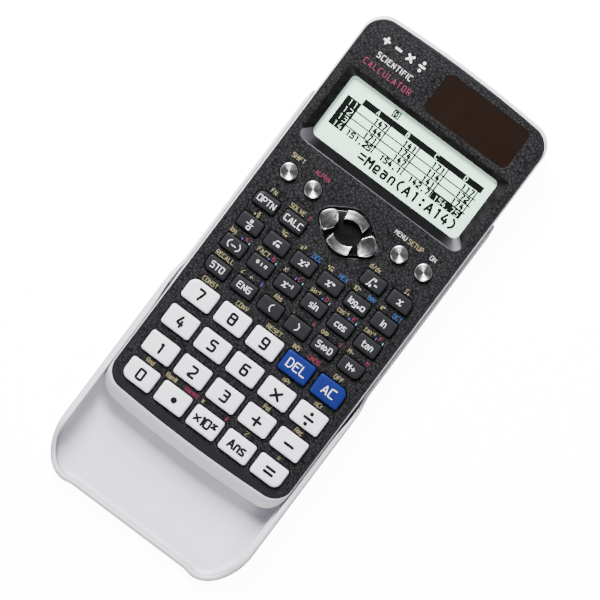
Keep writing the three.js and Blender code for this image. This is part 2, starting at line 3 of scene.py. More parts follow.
import bmesh
import bpy
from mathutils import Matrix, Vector


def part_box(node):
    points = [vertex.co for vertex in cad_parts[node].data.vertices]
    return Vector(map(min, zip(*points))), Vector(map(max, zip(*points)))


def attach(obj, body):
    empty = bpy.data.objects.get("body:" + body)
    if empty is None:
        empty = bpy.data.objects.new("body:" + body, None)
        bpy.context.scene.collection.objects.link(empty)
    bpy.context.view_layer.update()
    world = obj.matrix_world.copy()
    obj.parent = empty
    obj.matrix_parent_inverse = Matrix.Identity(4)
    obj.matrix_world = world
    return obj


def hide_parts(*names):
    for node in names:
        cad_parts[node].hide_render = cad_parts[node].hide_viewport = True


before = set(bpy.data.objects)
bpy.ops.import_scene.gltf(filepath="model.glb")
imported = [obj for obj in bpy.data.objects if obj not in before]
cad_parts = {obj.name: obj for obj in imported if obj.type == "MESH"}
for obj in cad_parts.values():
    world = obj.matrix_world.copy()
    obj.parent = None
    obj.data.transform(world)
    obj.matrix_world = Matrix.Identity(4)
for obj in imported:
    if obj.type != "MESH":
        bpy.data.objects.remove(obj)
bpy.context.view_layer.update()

# Everything below is in millimetres until a piece is made; MM turns it into Blender's metres.
MM = 0.001


def node_box(name):
    """A CAD node's box in millimetres, as (left, right, bottom, top, low, high)."""
    low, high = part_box(name)
    return tuple(value / MM for pair in zip(low, high) for value in pair)


# ---------------------------------------------------------------- node materials


def srgb(red, green, blue):
    """A colour given as 0-255 display values, as linear RGBA."""

    def linear(value):
        value /= 255
        return value / 12.92 if value <= 0.04045 else ((value + 0.055) / 1.055) ** 2.4

    return (linear(red), linear(green), linear(blue), 1)


class Nodes:
    """A new material with a Principled shader, and short calls that add nodes to it."""

    def __init__(self, name):
        self.material = bpy.data.materials.new(name)
        self.material.use_nodes = True
        self.tree = self.material.node_tree
        self.shader = self.tree.nodes["Principled BSDF"]
        self.place = self.add("ShaderNodeTexCoord").outputs["Object"]

    def add(self, kind, **values):
        node = self.tree.nodes.new(kind)
        for key, value in values.items():
            if hasattr(node, key):
                setattr(node, key, value)
            else:
                self.feed(node.inputs[key.replace("_", " ")], value)
        return node

    def feed(self, socket, value):
        if isinstance(value, bpy.types.NodeSocket):
            self.tree.links.new(value, socket)
        else:
            socket.default_value = value

    def feed_all(self, node, *values):
        """Feeds a node's first inputs, in their order."""
        for socket, value in zip(node.inputs, values):
            self.feed(socket, value)
        return node.outputs[0]

    def set(self, **values):
        for key, value in values.items():
            self.feed(self.shader.inputs[key.replace("_", " ")], value)

    def noise(self, size_mm, detail=3):
        scale = 1 / (size_mm * MM)
        return self.add("ShaderNodeTexNoise", Vector=self.place, Scale=scale, Detail=detail).outputs["Fac"]

    def remap(self, value, low, high, from_low=0.0, from_high=1.0):
        return self.feed_all(self.add("ShaderNodeMapRange"), value, from_low, from_high, low, high)

    def uneven(self, size_mm, detail, low, high):
        """Noise whose usual range is spread from low to high."""
        return self.remap(self.noise(size_mm, detail), low, high, 0.3, 0.7)

    def mix(self, factor, first, second):
        node = self.add("ShaderNodeMix", data_type="RGBA")
        for socket, value in ((node.inputs[0], factor), (node.inputs[6], first), (node.inputs[7], second)):
            self.feed(socket, value)
        return node.outputs[2]

    def math(self, operation, first, second=0.0):
        return self.feed_all(self.add("ShaderNodeMath", operation=operation), first, second)

    def stretched(self, scale):
        return self.add("ShaderNodeMapping", Vector=self.place, Scale=scale).outputs[0]

    def across(self):
        return self.add("ShaderNodeSeparateXYZ", Vector=self.place).outputs["X"]

    def facing(self):
        """0 where the surface faces the viewer, 1 where it turns away."""
        return self.add("ShaderNodeLayerWeight", Blend=0.5).outputs["Facing"]

    def bump(self, height, depth_mm):
        return self.add("ShaderNodeBump", Height=height, Distance=depth_mm * MM).outputs["Normal"]

    def blend(self, share, first, second):
        """Makes the material's surface a mix of two shaders."""
        mixed = self.feed_all(self.add("ShaderNodeMixShader"), share, first, second)
        self.feed(self.tree.nodes["Material Output"].inputs["Surface"], mixed)


def tinted(colour, factor, lift=0.0):
    return tuple(min(1, channel * factor + lift) for channel in colour[:3]) + (1,)


def moulded(name, colour, roughness, coat=0.0, shift=0.06, specular=0.5, ior=1.5):
    """Injection-moulded plastic: faint tone drift, fine texture, uneven gloss, and a painted highlight on
    convex edges, broken up by noise.
    """
    m = Nodes(name)
    tone = m.mix(m.noise(22, 2), tinted(colour, 1 - shift), tinted(colour, 1 + shift))
    # Painted highlight: convex edges are mixed towards a paler colour, in patches set by noise.
    edge = m.remap(m.add("ShaderNodeNewGeometry").outputs["Pointiness"], 0, 1, 0.52, 0.6)
    edge_highlight = m.math("MULTIPLY", edge, m.remap(m.noise(3), 0, 0.35, 0.4, 0.7))
    m.set(Base_Color=m.mix(edge_highlight, tone, tinted(colour, 1.25, 0.02)))
    m.set(Roughness=m.uneven(6, 5, roughness - 0.05, roughness + 0.07))
    m.set(Normal=m.bump(m.noise(0.25, 2), 0.004))
    m.set(Coat_Weight=coat, Coat_Roughness=0.15, Specular_IOR_Level=specular, IOR=ior)
    return m.material


def grained():
    """The face plate's leather grain: pebbles a little wider than tall, parted by creases darkened with
    painted shade.
    """
    m = Nodes("grained_plate")
    wide = m.stretched((0.72, 1, 1))
    wander = m.add("ShaderNodeTexNoise", Vector=wide, Scale=1400, Detail=3).outputs["Color"]
    bent = m.feed_all(m.add("ShaderNodeMixRGB", blend_type="LINEAR_LIGHT"), 0.00022, wide, wander)
    edges = m.add("ShaderNodeTexVoronoi", feature="DISTANCE_TO_EDGE", Vector=bent, Scale=980)
    pebbles = m.remap(edges.outputs["Distance"], 0, 1, 0.0, 0.3)
    fine = m.noise(0.3, 3)
    height = m.math("ADD", pebbles, m.math("MULTIPLY", fine, 0.25))
    tone = m.mix(m.noise(12, 2), srgb(28, 28, 29), srgb(33, 32, 34))
    # Painted shade: the colour goes near black in the creases between the pebbles.
    m.set(Base_Color=m.mix(m.remap(pebbles, 0, 1, 0.0, 0.55), srgb(4, 4, 5), tone))
    m.set(Roughness=m.remap(fine, 0.4, 0.56, 0.3, 0.7), Specular_IOR_Level=0.1, IOR=1.2)
    m.set(Normal=m.bump(height, 0.11))
    return m.material


def spun_metal(name, colour, roughness=0.3):
    """Turned or circular-brushed plating: anisotropic round each piece's own middle, with fine rings."""
    m = Nodes(name)
    tangent = m.add("ShaderNodeTangent", direction_type="RADIAL", axis="Z").outputs[0]
    m.set(Metallic=1.0, Base_Color=m.mix(m.noise(1.5, 4), srgb(205, 206, 208), colour))
    m.set(Anisotropic=0.85, Anisotropic_Rotation=0.25, Tangent=tangent)
    m.set(Roughness=m.uneven(0.6, 5, roughness - 0.05, roughness + 0.08))
    return m.material


def painted_corner_highlight():
    """The slope below the display: dark in the middle, with a painted highlight where it turns into the
    corners.
    """
    m = Nodes("recess_slope")
    turn = m.remap(m.math("ABSOLUTE", m.across()), 0, 1, 26 * MM, 34 * MM)
    turn = m.math("POWER", turn, 2.0)
    # Painted highlight: colour and specular level rise towards both lower corners.
    m.set(Base_Color=m.mix(turn, srgb(9, 9, 10), srgb(62, 62, 66)))
    m.set(Specular_IOR_Level=m.remap(turn, 0.02, 0.25))
    m.set(Roughness=m.uneven(4, 4, 0.3, 0.42), Normal=m.bump(m.noise(0.25, 2), 0.004))
    return m.material


def brushed_steel(name):
    """Steel with streaks that run across the calculator."""
    m = Nodes(name)
    streaks = m.add("ShaderNodeTexNoise", Vector=m.stretched((1, 14, 1)), Scale=900, Detail=4).outputs["Fac"]
    m.set(Metallic=1.0, Base_Color=m.mix(streaks, srgb(178, 179, 181), srgb(214, 214, 214)))
    m.set(Roughness=m.remap(streaks, 0.24, 0.4), Normal=m.bump(streaks, 0.01))
    return m.material


def cover_plastic():
    """Pale translucent moulding: light soaks in, painted shade darkens slopes as they turn away from the
    viewer; long faint flow marks.
    """
    m = Nodes("cover_plastic")
    marks = m.add("ShaderNodeTexNoise", Vector=m.stretched((1, 0.2, 1)), Scale=90, Detail=3).outputs["Fac"]
    tone = m.mix(marks, srgb(190, 187, 197), srgb(198, 195, 204))
    # Painted shade: surfaces turned away from the viewer are mixed towards a darker grey.
    turned = m.math("MULTIPLY", m.math("POWER", m.facing(), 1.3), 0.9)
    m.set(Base_Color=m.mix(turned, tone, srgb(96, 94, 102)))
    m.set(Subsurface_Weight=0.25, Subsurface_Scale=0.004, Subsurface_Radius=(1, 1, 1))
    m.set(Roughness=m.uneven(5, 4, 0.34, 0.46))
    m.set(Normal=m.bump(m.noise(0.4, 2), 0.003))
    return m.material


def ink(name, colour, specular=0.3):
    """Printed legend: matt, very slightly uneven."""
    m = Nodes(name)
    printed = m.remap(m.noise(0.5, 4), 0, 1, 0.35, 0.75)
    m.set(Base_Color=m.mix(printed, tinted(colour, 0.82), colour))
    m.set(Roughness=0.55, Specular_IOR_Level=specular)
    return m.material


DOT_PITCH = 0.32  # of the display's dot lattice


def lcd_ground():
    """Reflective display ground: pale grey-green, with a fine dot lattice, slow cloudiness and a faint
    painted glow.
    """
    m = Nodes("lcd_ground")
    tone = m.mix(m.noise(9), srgb(184, 222, 197), srgb(190, 227, 203))
    dots = m.add("ShaderNodeTexVoronoi", Vector=m.place, Scale=1 / (DOT_PITCH * MM), Randomness=0)
    lattice = dots.outputs["Distance"]
    m.set(Base_Color=m.mix(m.remap(lattice, 0, 0.25, 0.35, 0.6), tone, srgb(176, 212, 190)))
    m.set(Roughness=0.5, Specular_IOR_Level=0.2)
    # Painted glow: the display has no light of its own; this emission lifts it and the pale digits drawn with
    # it.
    m.set(Emission_Color=(0.75, 1, 0.84, 1), Emission_Strength=0.5)
    return m.material


def clear_window():
    """Hard-coated clear plastic: seen straight through, with a faint reflection."""
    m = Nodes("clear_window")
    clear = m.add("ShaderNodeBsdfTransparent")
    gloss = m.add("ShaderNodeBsdfGlossy", Roughness=0.06)
    m.feed(gloss.inputs["Normal"], m.bump(m.noise(4, 2), 0.002))
    share = m.math("ADD", m.math("MULTIPLY", m.math("POWER", m.facing(), 4), 0.7), 0.04)
    m.blend(share, clear.outputs[0], gloss.outputs[0])
    return m.material


CELLS_PER_METRE = 114  # of the solar panel's strips


def solar_glass():
    """Amorphous solar panel under glass: brown-black, with thin lines between its cells."""
    m = Nodes("solar_glass")
    cells = m.math("FRACT", m.math("MULTIPLY", m.across(), CELLS_PER_METRE))
    m.set(Base_Color=m.mix(m.noise(7), srgb(18, 11, 9), srgb(22, 15, 12)))
    m.set(Roughness=0.12, Coat_Weight=0.1, Coat_Roughness=0.04, Specular_IOR_Level=0.2)
    m.set(Metallic=m.remap(cells, 0.5, 0, 0, 0.02))
    return m.material


MATERIALS = {
    "case": moulded("case_plastic", srgb(184, 184, 189), 0.32, coat=0.3, shift=0.02),
    "cover": cover_plastic(),
    "grained": grained(),
    "border": moulded("plate_border", srgb(24, 24, 26), 0.3, specular=0.25, ior=1.25),
    "recess": moulded("display_recess", srgb(9, 9, 10), 0.26, specular=0.2),
    "solar_frame": moulded("solar_frame", srgb(11, 9, 9), 0.6, specular=0.1),
    # The next material carries the painted highlight on the display slope's lower corners.
    "mitre_highlight": painted_corner_highlight(),
    # Paler grey of the ridge under the display: a painted highlight on the recess's lower edge.
    "ridge": moulded("display_edge_highlight", srgb(64, 64, 68), 0.3),
    "black_key": moulded("black_key", srgb(27, 27, 29), 0.36, specular=0.2, ior=1.2),
    "white_key": moulded("white_key", srgb(198, 197, 205), 0.42, shift=0.03),
    "blue_key": moulded("blue_key", srgb(18, 27, 76), 0.36, specular=0.25, ior=1.2),
    "spun": spun_metal("spun_plating", srgb(204, 205, 208)),
    "pad_metal": spun_metal("pad_plating", srgb(106, 107, 110), 0.36),
    "pad_black": moulded("pad_black", srgb(5, 5, 6), 0.26, specular=0.3),
    "steel": brushed_steel("steel"),
    "rubber": moulded("rubber_sheet", srgb(139, 143, 148), 0.8),
    "board": moulded("circuit_board", srgb(31, 92, 56), 0.55),
    "lcd_ground": lcd_ground(),
    "lcd_dark": ink("lcd_dark", srgb(4, 5, 5), 0.05),
    "window": clear_window(),
    "solar": solar_glass(),
    "white_ink": ink("white_ink", srgb(192, 192, 195)),
    "dark_ink": ink("dark_ink", srgb(8, 8, 10), 0.1),
    "yellow_ink": ink("yellow_ink", srgb(118, 111, 76)),
    "red_ink": ink("red_ink", srgb(100, 8, 46)),
    "blue_ink": ink("blue_ink", srgb(17, 62, 112)),
    "violet_ink": ink("violet_ink", srgb(70, 60, 150)),
    "cyan_ink": ink("cyan_ink", srgb(96, 150, 176)),
}

# ---------------------------------------------------------------- mesh helpers


def make_piece(name, points, faces, material, body, stands_for=(), slot=None, sharp=35):
    """A closed mesh from points in millimetres, riding on a body."""
    mesh = bpy.data.meshes.new(name)
    mesh.from_pydata([Vector(point) * MM for point in points], [], faces)
    work = bmesh.new()
    work.from_mesh(mesh)
    bmesh.ops.recalc_face_normals(work, faces=work.faces)
    work.to_mesh(mesh)
    work.free()
    return finish_piece(name, mesh, material, body, stands_for, slot, sharp)


def finish_piece(name, mesh, material, body, stands_for=(), slot=None, sharp=35):
    """Shades a mesh and makes it a piece; faces of nine corners or more are flat caps."""
    mesh.materials.clear()
    mesh.materials.append(MATERIALS[material])
    mesh.polygons.foreach_set("use_smooth", [len(face.vertices) < 9 for face in mesh.polygons])
    mesh.set_sharp_from_angle(angle=math.radians(sharp))
    piece = bpy.data.objects.new(name, mesh)
    bpy.context.scene.collection.objects.link(piece)
    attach(piece, body)
    if stands_for:
        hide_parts(*stands_for)
    return piece


def joined_rings(rings, closed_path=False):
    """Points and quads that join equal rings, either open at both ends or joined last to first."""
    count = len(rings[0])
    points = [point for ring in rings for point in ring]
    faces = []
    last = len(rings) if closed_path else len(rings) - 1
    for row in range(last):
        after = (row + 1) % len(rings)
        for column in range(count):
            beside = (column + 1) % count
            near, far = row * count, after * count
            faces.append((near + column, near + beside, far + beside, far + column))
    return points, faces


def capped_rings(rings):
    """Joined rings with the first and last ring closed by flat faces."""
    points, faces = joined_rings(rings)
    count = len(rings[0])
    faces.append(tuple(reversed(range(count))))
    faces.append(tuple(range(len(points) - count, len(points))))
    return points, faces


def add_mesh(store, mesh):
    """Adds a mesh's points and faces to a store of points and faces."""
    points, faces = mesh
    first = len(store[0])
    store[0].extend(points)
    store[1].extend(tuple(first + i for i in face) for face in faces)


def shares(steps):
    """Evenly spaced values from 0 to 1."""
    return [step / steps for step in range(steps + 1)]


def arc(x, y, radius, start, end, steps):
    """Points of an arc; angles in degrees."""
    angles = [math.radians(start + (end - start) * t) for t in shares(steps)]
    return [(x + radius * math.cos(angle), y + radius * math.sin(angle)) for angle in angles]


def circle(x, y, radius):
    return arc(x, y, radius, 0, 352.5, 47)


def rounded_box(left, right, bottom, top, corners, steps=6):
    """Counter-clockwise rounded rectangle. One radius, or four running clockwise from the top left."""
    radii = corners if isinstance(corners, tuple) else (corners,) * 4
    top_left, top_right, bottom_right, bottom_left = radii
    return (
        arc(right - bottom_right, bottom + bottom_right, bottom_right, -90, 0, steps)
        + arc(right - top_right, top - top_right, top_right, 0, 90, steps)
        + arc(left + top_left, top - top_left, top_left, 90, 180, steps)
        + arc(left + bottom_left, bottom + bottom_left, bottom_left, 180, 270, steps)
    )


def bowed_plan(half_width, top, bottom, upper, lower, bow, steps=10):
    """The body's plan: rounded corners, and ends that bow out by `bow`."""

    def bowed(low_x, high_x, middle, ends):
        stations = [low_x + (high_x - low_x) * t for t in shares(16)[1:-1]]
        reach = max(abs(low_x), abs(high_x))
        return [(x, middle + (ends - middle) * (x / reach) ** 2) for x in stations]

    return (
        bowed(-half_width + lower, half_width - lower, bottom, bottom + bow)
        + arc(half_width - lower, bottom + bow + lower, lower, -90, 0, steps)
        + arc(half_width - upper, top - bow - upper, upper, 0, 90, steps)
        + bowed(half_width - upper, -half_width + upper, top, top - bow)
        + arc(-half_width + upper, top - bow - upper, upper, 90, 180, steps)
        + arc(-half_width + lower, bottom + bow + lower, lower, 180, 270, steps)
    )


def grown(box, amount):
    left, right, bottom, top = box
    return (left - amount, right + amount, bottom - amount, top + amount)


def middle_of(box):
    left, right, bottom, top = box
    return (left + right) / 2, (bottom + top) / 2


def plan_of(name, **shape):
    """Plan of a CAD node with bowed ends: its size from its box, its corners and bow as given."""
    _, right, bottom, top, _, _ = node_box(name)
    return dict(half_width=right, top=top, bottom=bottom, **shape)


def inside(plan, side, above, below, **shape):
    """A smaller plan within another, by three distances."""
    top, bottom = plan["top"] - above, plan["bottom"] + below
    return plan | dict(half_width=plan["half_width"] - side, top=top, bottom=bottom) | shape


def level(outline, z):
    """An outline's points at a height."""
    return [(x, y, z) for x, y in outline]


def sheet_with_holes(name, outline, holes, low, high, edge, material, body, **kinds):
    """A flat sheet with rounded edges, filled between an outline and its holes."""
    curve = bpy.data.curves.new(name, "CURVE")
    curve.dimensions = "2D"
    curve.fill_mode = "BOTH"
    curve.extrude = (high - low) / 2 - edge
    curve.bevel_depth = edge
    curve.bevel_resolution = 2
    curve.offset = -edge
    for path in [outline, *holes]:
        spline = curve.splines.new("POLY")
        spline.points.add(len(path) - 1)
        for point, (x, y) in zip(spline.points, path):
            point.co = (x, y, 0, 1)
        spline.use_cyclic_u = True
    holder = bpy.data.objects.new(name + "_curve", curve)
    bpy.context.scene.collection.objects.link(holder)
    bpy.context.view_layer.update()
    mesh = bpy.data.meshes.new_from_object(holder.evaluated_get(bpy.context.evaluated_depsgraph_get()))
    bpy.data.objects.remove(holder)
    work = bmesh.new()
    work.from_mesh(mesh)
    bmesh.ops.remove_doubles(work, verts=work.verts, dist=0.002)
    bmesh.ops.recalc_face_normals(work, faces=work.faces)
    for vertex in work.verts:
        vertex.co = Vector((vertex.co.x, vertex.co.y, vertex.co.z + (low + high) / 2)) * MM
    work.to_mesh(mesh)
    work.free()
    return finish_piece(name, mesh, material, body, **kinds)


# ---------------------------------------------------------------- stroke lettering

# Each glyph is a set of strokes on a grid. A point is its x then its y; a point given twice alone is a dot.
BASELINE, CAP_TOP = 2, 9
GLYPHS = {
    "0": "02 42 49 09 02", "1": "08 19 12", "2": "09 49 46 03 02 42", "3": "09 49 42 02,16 46",
    "4": "29 04 44,36 32", "5": "49 09 06 46 42 02", "6": "49 09 02 42 46 06", "7": "09 49 22",
    "8": "02 42 49 09 02,06 46", "9": "45 05 09 49 42 02",
    "A": "02 29 42,14 34", "B": "02 09,09 39 36 06,36 46 42 02", "C": "49 09 02 42",
    "D": "02 09,09 39 47 44 32 02", "E": "49 09 02 42,06 36", "F": "49 09 02,06 36",
    "G": "49 09 02 42 46 26", "H": "02 09,42 49,06 46", "I": "02 09", "L": "09 02 42",
    "M": "02 09 25 49 42", "N": "02 09 42 49", "O": "02 42 49 09 02", "P": "02 09,09 49 45 05",
    "R": "02 09,09 49 45 05,25 42", "S": "49 09 06 46 42 02", "T": "09 49,29 22", "U": "09 02 42 49",
    "V": "09 22 49", "X": "02 49,09 42",
    "a": "07 37 32 02 05 35", "b": "09 02 32 37 07", "c": "37 07 02 32", "d": "39 32 02 07 37",
    "e": "04 34 37 07 02 32", "g": "33 03 07 37 30 00", "i": "02 07,09 09", "l": "09 02",
    "n": "02 07 37 32", "o": "02 32 37 07 02", "r": "02 07 27", "s": "37 07 05 34 32 02",
    "t": "19 12 32,07 37", "x": "02 37,07 32", "y": "07 24,37 10",
    "+": "05 45,27 23", "-": "05 45", "*": "03 47,07 43", "/": "05 45,28 28,22 22", "=": "07 47,04 44",
    "(": "29 07 04 22", ")": "09 27 24 02", ".": "02 02", ",": "12 01", ":": "03 03,07 07", "'": "09 06",
    "#": "12 19,32 39,04 44,07 47", "%": "02 49,09 09,42 42", "~": "03 14 33 44,06 17 36 47",
    "!": "09 05,02 02", "o'": "06 26 29 09 06", "S_": "49 09 25 02 42", "hook": "02 05",
    "curly": "07 18 32 42 53,58 48 12 02", "pi": "07 47,17 12,37 32", "angle": "48 02 42",
    "left": "05 55,27 05 23", "both": "05 28 26 46 48 75 42 44 24 22 05", "slash": "02 49",
    "box": "02 42 47 07 02", "full": "03 33 36 06 03,04 34,05 35", "small": "02 22 24 04 02",
    "dot": "25 25", "root": "05 12 29 79,43 73,44 74,45 75", "add": "05 45,28 22",
    "over": "28 48,29 49,27 47,05 65,20 50 53 23 20",
    "integral": "49 39 10 00,57 67 69 59 57,30 40 42 32 30,73 94,93 74",
}
GLYPH_GAP = 1.9  # between characters, in grid units
SPACE = 2.6 / GLYPH_GAP  # a space's width over that gap
CORNER_CUT = 1.1  # how much of a stroke's corner is rounded, in grid units
INK_DEPTH = 0.02  # how far a stroke reaches into its surface, and the least that it stands above it
CLIMB = 0.0008  # each section of a stroke is this much higher, so that it isn't level where it meets itself
STROKE_STEP = 0.0015  # each stroke of a text is this much higher than the one before, for the same reason


def glyphs_of(text):
    """Splits text into glyph names; a name of more than one character is written {name}."""
    names = []
    while text:
        if text[0] == "{":
            name, text = text[1:].split("}", 1)
        else:
            name, text = text[0], text[1:]
        names.append(name)
    return names


def rounded_path(points, closed):
    """A stroke's centre line with its corners rounded."""
    path = []
    count = len(points)
    for i, point in enumerate(points):
        if not closed and i in (0, count - 1):
            path.append(point)
            continue
        before, after = points[i - 1], points[(i + 1) % count]
        cut_in = min(CORNER_CUT, (before - point).length * 0.45)
        cut_out = min(CORNER_CUT, (after - point).length * 0.45)
        start = point + (before - point).normalized() * cut_in
        end = point + (after - point).normalized() * cut_out
        for t in shares(4):
            path.append(start * (1 - t) ** 2 + point * 2 * t * (1 - t) + end * t * t)
    return path


def stroke_mesh(path, closed, half_width, low, high):
    """One raised stroke, with round ends if it is open."""
    count = len(path)
    sections = []
    for i, point in enumerate(path):
        before = path[i - 1] if closed or i > 0 else point
        after = path[(i + 1) % count] if closed or i < count - 1 else point
        along = (after - before).normalized()
        sections.append((point, Vector((-along.y, along.x)) * half_width))
    if not closed:

        def tips(section, direction):
            point, side = section
            outward = Vector((side.y, -side.x)) * direction
            return [(point + outward * share, side * math.sqrt(1 - share * share)) for share in (0.5, 0.85)]

        sections = tips(sections[0], -1)[::-1] + sections + tips(sections[-1], 1)
    rings = []
    for i, (point, side) in enumerate(sections):
        upper = high + i * CLIMB
        corners = ((point + side, low), (point - side, low), (point - side, upper), (point + side, upper))
        rings.append([(edge.x, edge.y, z) for edge, z in corners])
    return joined_rings(rings, closed_path=True) if closed else capped_rings(rings)


def laid_out(text, gap, pitch, widen):
    """A text's strokes in grid units from its left end, and its width. ^ and | enclose a superscript."""
    cursor, scale, lift = 0.0, 1.0, 0.0
    strokes = []
    for name in glyphs_of(text):
        if name == "^":
            scale, lift = 0.6, (CAP_TOP - BASELINE) * 0.5
        elif name == "|":
            scale, lift = 1.0, 0.0
        elif name == " ":
            cursor += gap * SPACE
        else:
            grids = [[(int(c), int(r)) for c, r in stroke.split()] for stroke in GLYPHS[name].split(",")]
            width = max(column for grid in grids for column, _ in grid) * widen
            step = pitch or width + gap
            left = cursor + ((pitch - width) / 2 if pitch else 0.0)
            for grid in grids:
                strokes.append(
                    [Vector((left + c * widen * scale, (r - BASELINE) * scale + lift)) for c, r in grid]
                )
            cursor += step * scale
    return strokes, cursor - (0 if pitch else gap * scale)


def letter(store, text, x, y, height, weight, surface, align="middle", spread=1.0, pitch=0.0, widen=1.1):
    """Adds text to a store of points and faces. x and y are the text's middle, or x its aligned end.

    surface(x, y) gives the height that the legend sits on. With a pitch, every character takes that width.
    widen is how wide a grid unit is for its height."""
    unit = height / (CAP_TOP - BASELINE)
    strokes, width = laid_out(text, GLYPH_GAP * spread, pitch / unit, widen)
    start = {"middle": x - width * unit / 2, "left": x, "right": x - width * unit}[align]
    for i, stroke in enumerate(strokes, 1):
        placed = [Vector((start + p.x * unit, y - height / 2 + p.y * unit)) for p in stroke]
        middle = sum(placed, Vector((0, 0))) / len(placed)
        base = surface(middle.x, middle.y)
        low, high = base - INK_DEPTH, base + INK_DEPTH + i * STROKE_STEP
        if len(placed) == 2 and placed[0] == placed[1]:
            dot = arc(placed[0].x, placed[0].y, weight * 0.75, 0, 315, 7)
            add_mesh(store, capped_rings([level(dot, low), level(dot, high)]))
            continue
        closed = placed[0] == placed[-1] and len(placed) > 2
        if closed:
            placed = placed[:-1]
        path = [p * unit for p in rounded_path([p / unit for p in placed], closed)]
        add_mesh(store, stroke_mesh(path, closed, weight / 2, low, high))


# ---------------------------------------------------------------- keys

FLANGE_OVERLAP = 0.6  # how far a key's flange reaches past its cap, in the CAD
ROUND_KEY_RADIUS = 3.1
PLATE_TOP = node_box("face_plate")[5]
# Keys at the corners of their block, with the corner that is rounder: 0 is top left, 1 top right and so on.
BIG_CORNERS = {
    "optn": 0, "7": 0, "variable_x": 1, "clear": 1, "memory_plus": 2, "equals": 2, "store": 3, "0": 3,
}
DARK = (
    "optn calc integral variable_x fraction root square power log ln negative degrees reciprocal sin cos tan"
    " store eng bracket_open bracket_close format memory_plus"
).split()
WHITE = "7 8 9 4 5 6 multiply divide 1 2 3 plus minus 0 point exponent answer equals".split()
BLUE = ["delete", "clear"]
ROUND = ["shift", "alpha", "menu", "on"]
RECTANGULAR = DARK + WHITE + BLUE

# What each key shows: its own legend, then the small ones above it. One alone stands in the middle in yellow;
# of two, the left is yellow and the right red; a third is yellow in the middle. LEGEND_INKS lists the others.
# A key that isn't here shows its name.
LEGENDS = {
    "shift": ("", "SHIFT"), "alpha": ("", "ALPHA"), "menu": ("", "MENU", "SETUP"), "on": ("", "ON"),
    "optn": ("OPTN", "FN"), "calc": ("CALC", "SOLVE", "="), "integral": ("{integral}", "d{slash}dx", ":"),
    "variable_x": ("{curly}", "{S_}{small}"), "fraction": ("{over}", "{small}{over}"),
    "root": ("{root}", "^3|{root}"), "square": ("{curly}^2", "x^3", "DEC"),
    "power": ("{curly}^{full}", "^{full}|{root}", "HEX"), "log": ("log{small}{box}", "10^{full}", "BIN"),
    "ln": ("ln", "e^{full}", "OCT"), "negative": ("(-)", "log", "A"), "degrees": ("{o'} ' ''", "FACT", "B"),
    "reciprocal": ("{curly}^-1", "x!", "C"), "sin": ("sin", "sin^-1", "D"), "cos": ("cos", "cos^-1", "E"),
    "tan": ("tan", "tan^-1", "F"), "store": ("STO", "RECALL"), "eng": ("ENG", "{angle}", "i", "{left}"),
    "bracket_open": ("(", "Abs"), "bracket_close": (")", ",", "x"),
    "format": ("S{both}D", "{box}{both}", "y"),
    "memory_plus": ("M+", "M-", "M"), "7": ("7", "CONST"), "8": ("8", "CONV"), "9": ("9", "RESET"),
    "delete": ("DEL", "INS", "UNDO"), "clear": ("AC", "OFF"),
    "multiply": ("*", "nPr"), "divide": ("/", "nCr"),
    "plus": ("{add}", "Pol"), "minus": ("-", "Rec"), "0": ("0", "Rnd"), "point": ("{dot}", "Ran#", "RanInt"),
    "exponent": ("*10^{curly}", "{pi}", "e"), "answer": ("Ans", "%"), "equals": ("=", "~"),
}
LEGEND_INKS = {"MENU": "white", "ON": "white", "ALPHA": "red", "SETUP": "yellow", "i": "violet"}
LEGEND_INKS |= dict.fromkeys(("DEC", "HEX", "BIN", "OCT"), "blue")

plate_legends = {}


def cap_box(name):
    """Plan of a key's cap, as (left, right, bottom, top)."""
    return grown(node_box("key_" + name)[:4], -FLANGE_OVERLAP)


def cap_outline(name, inset):
    """A rectangular key's outline, moved inwards, or outwards if inset is below zero."""
    plain, big = 1.0, 2.5 if name in DARK else 2.9
    corners = (big if BIG_CORNERS.get(name) == i else plain for i in range(4))
    return rounded_box(*grown(cap_box(name), -inset), tuple(max(0.15, c - inset * 0.8) for c in corners))


CAP_DEPTH = 3.6  # how far a cap's side reaches down from its top
CROWN = 0.12  # how much lower the top lies half a key's width from its middle
KEY_SHOULDER = (  # insets and heights below the top
    (0.0, -CAP_DEPTH), (0.0, -1.0), (0.06, -0.62), (0.17, -0.34), (0.34, -0.14), (0.56, -0.03),
)


def make_rectangular_key(name, material):
    """A cap with rounded shoulders and a very slightly crowned top; returns its top as surface(x, y)."""
    node = "key_" + name
    high = node_box(node)[5]
    left, right, _, _ = cap_box(name)
    middle_x, middle_y = middle_of(cap_box(name))
    reach = (right - left) / 2

    def surface(x, y):
        return high - CROWN * ((x - middle_x) ** 2 + (y - middle_y) ** 2) / reach**2

    rings = [level(cap_outline(name, inset), high + drop - CROWN) for inset, drop in KEY_SHOULDER]
    for inset in (0.85, 1.4, 2.1):
        rings.append([(x, y, min(surface(x, y), high)) for x, y in cap_outline(name, inset)])
    make_piece("cap_" + name, *capped_rings(rings), material, node, (node,), material, sharp=60)
    return surface


def make_round_key(name):
    """A turned cap: small rounded rim and a shallow cone."""
    node = "key_" + name
    x, y = middle_of(cap_box(name))
    radius = ROUND_KEY_RADIUS
    profile = [(radius, -CAP_DEPTH), (radius, -0.45), (radius - 0.08, -0.2), (radius - 0.25, -0.03)]
    profile += [(radius - 0.42, 0), (radius - 0.6, -0.04)]
    profile += [(radius * share, -0.04 - 0.3 * (1 - share)) for share in (0.7, 0.45, 0.2, 0.04)]
    rings = [level(circle(x, y, r), node_box(node)[5] + z) for r, z in profile]
    make_piece("cap_" + name, *capped_rings(rings), "spun", node, (node,), "plated_plastic", sharp=50)


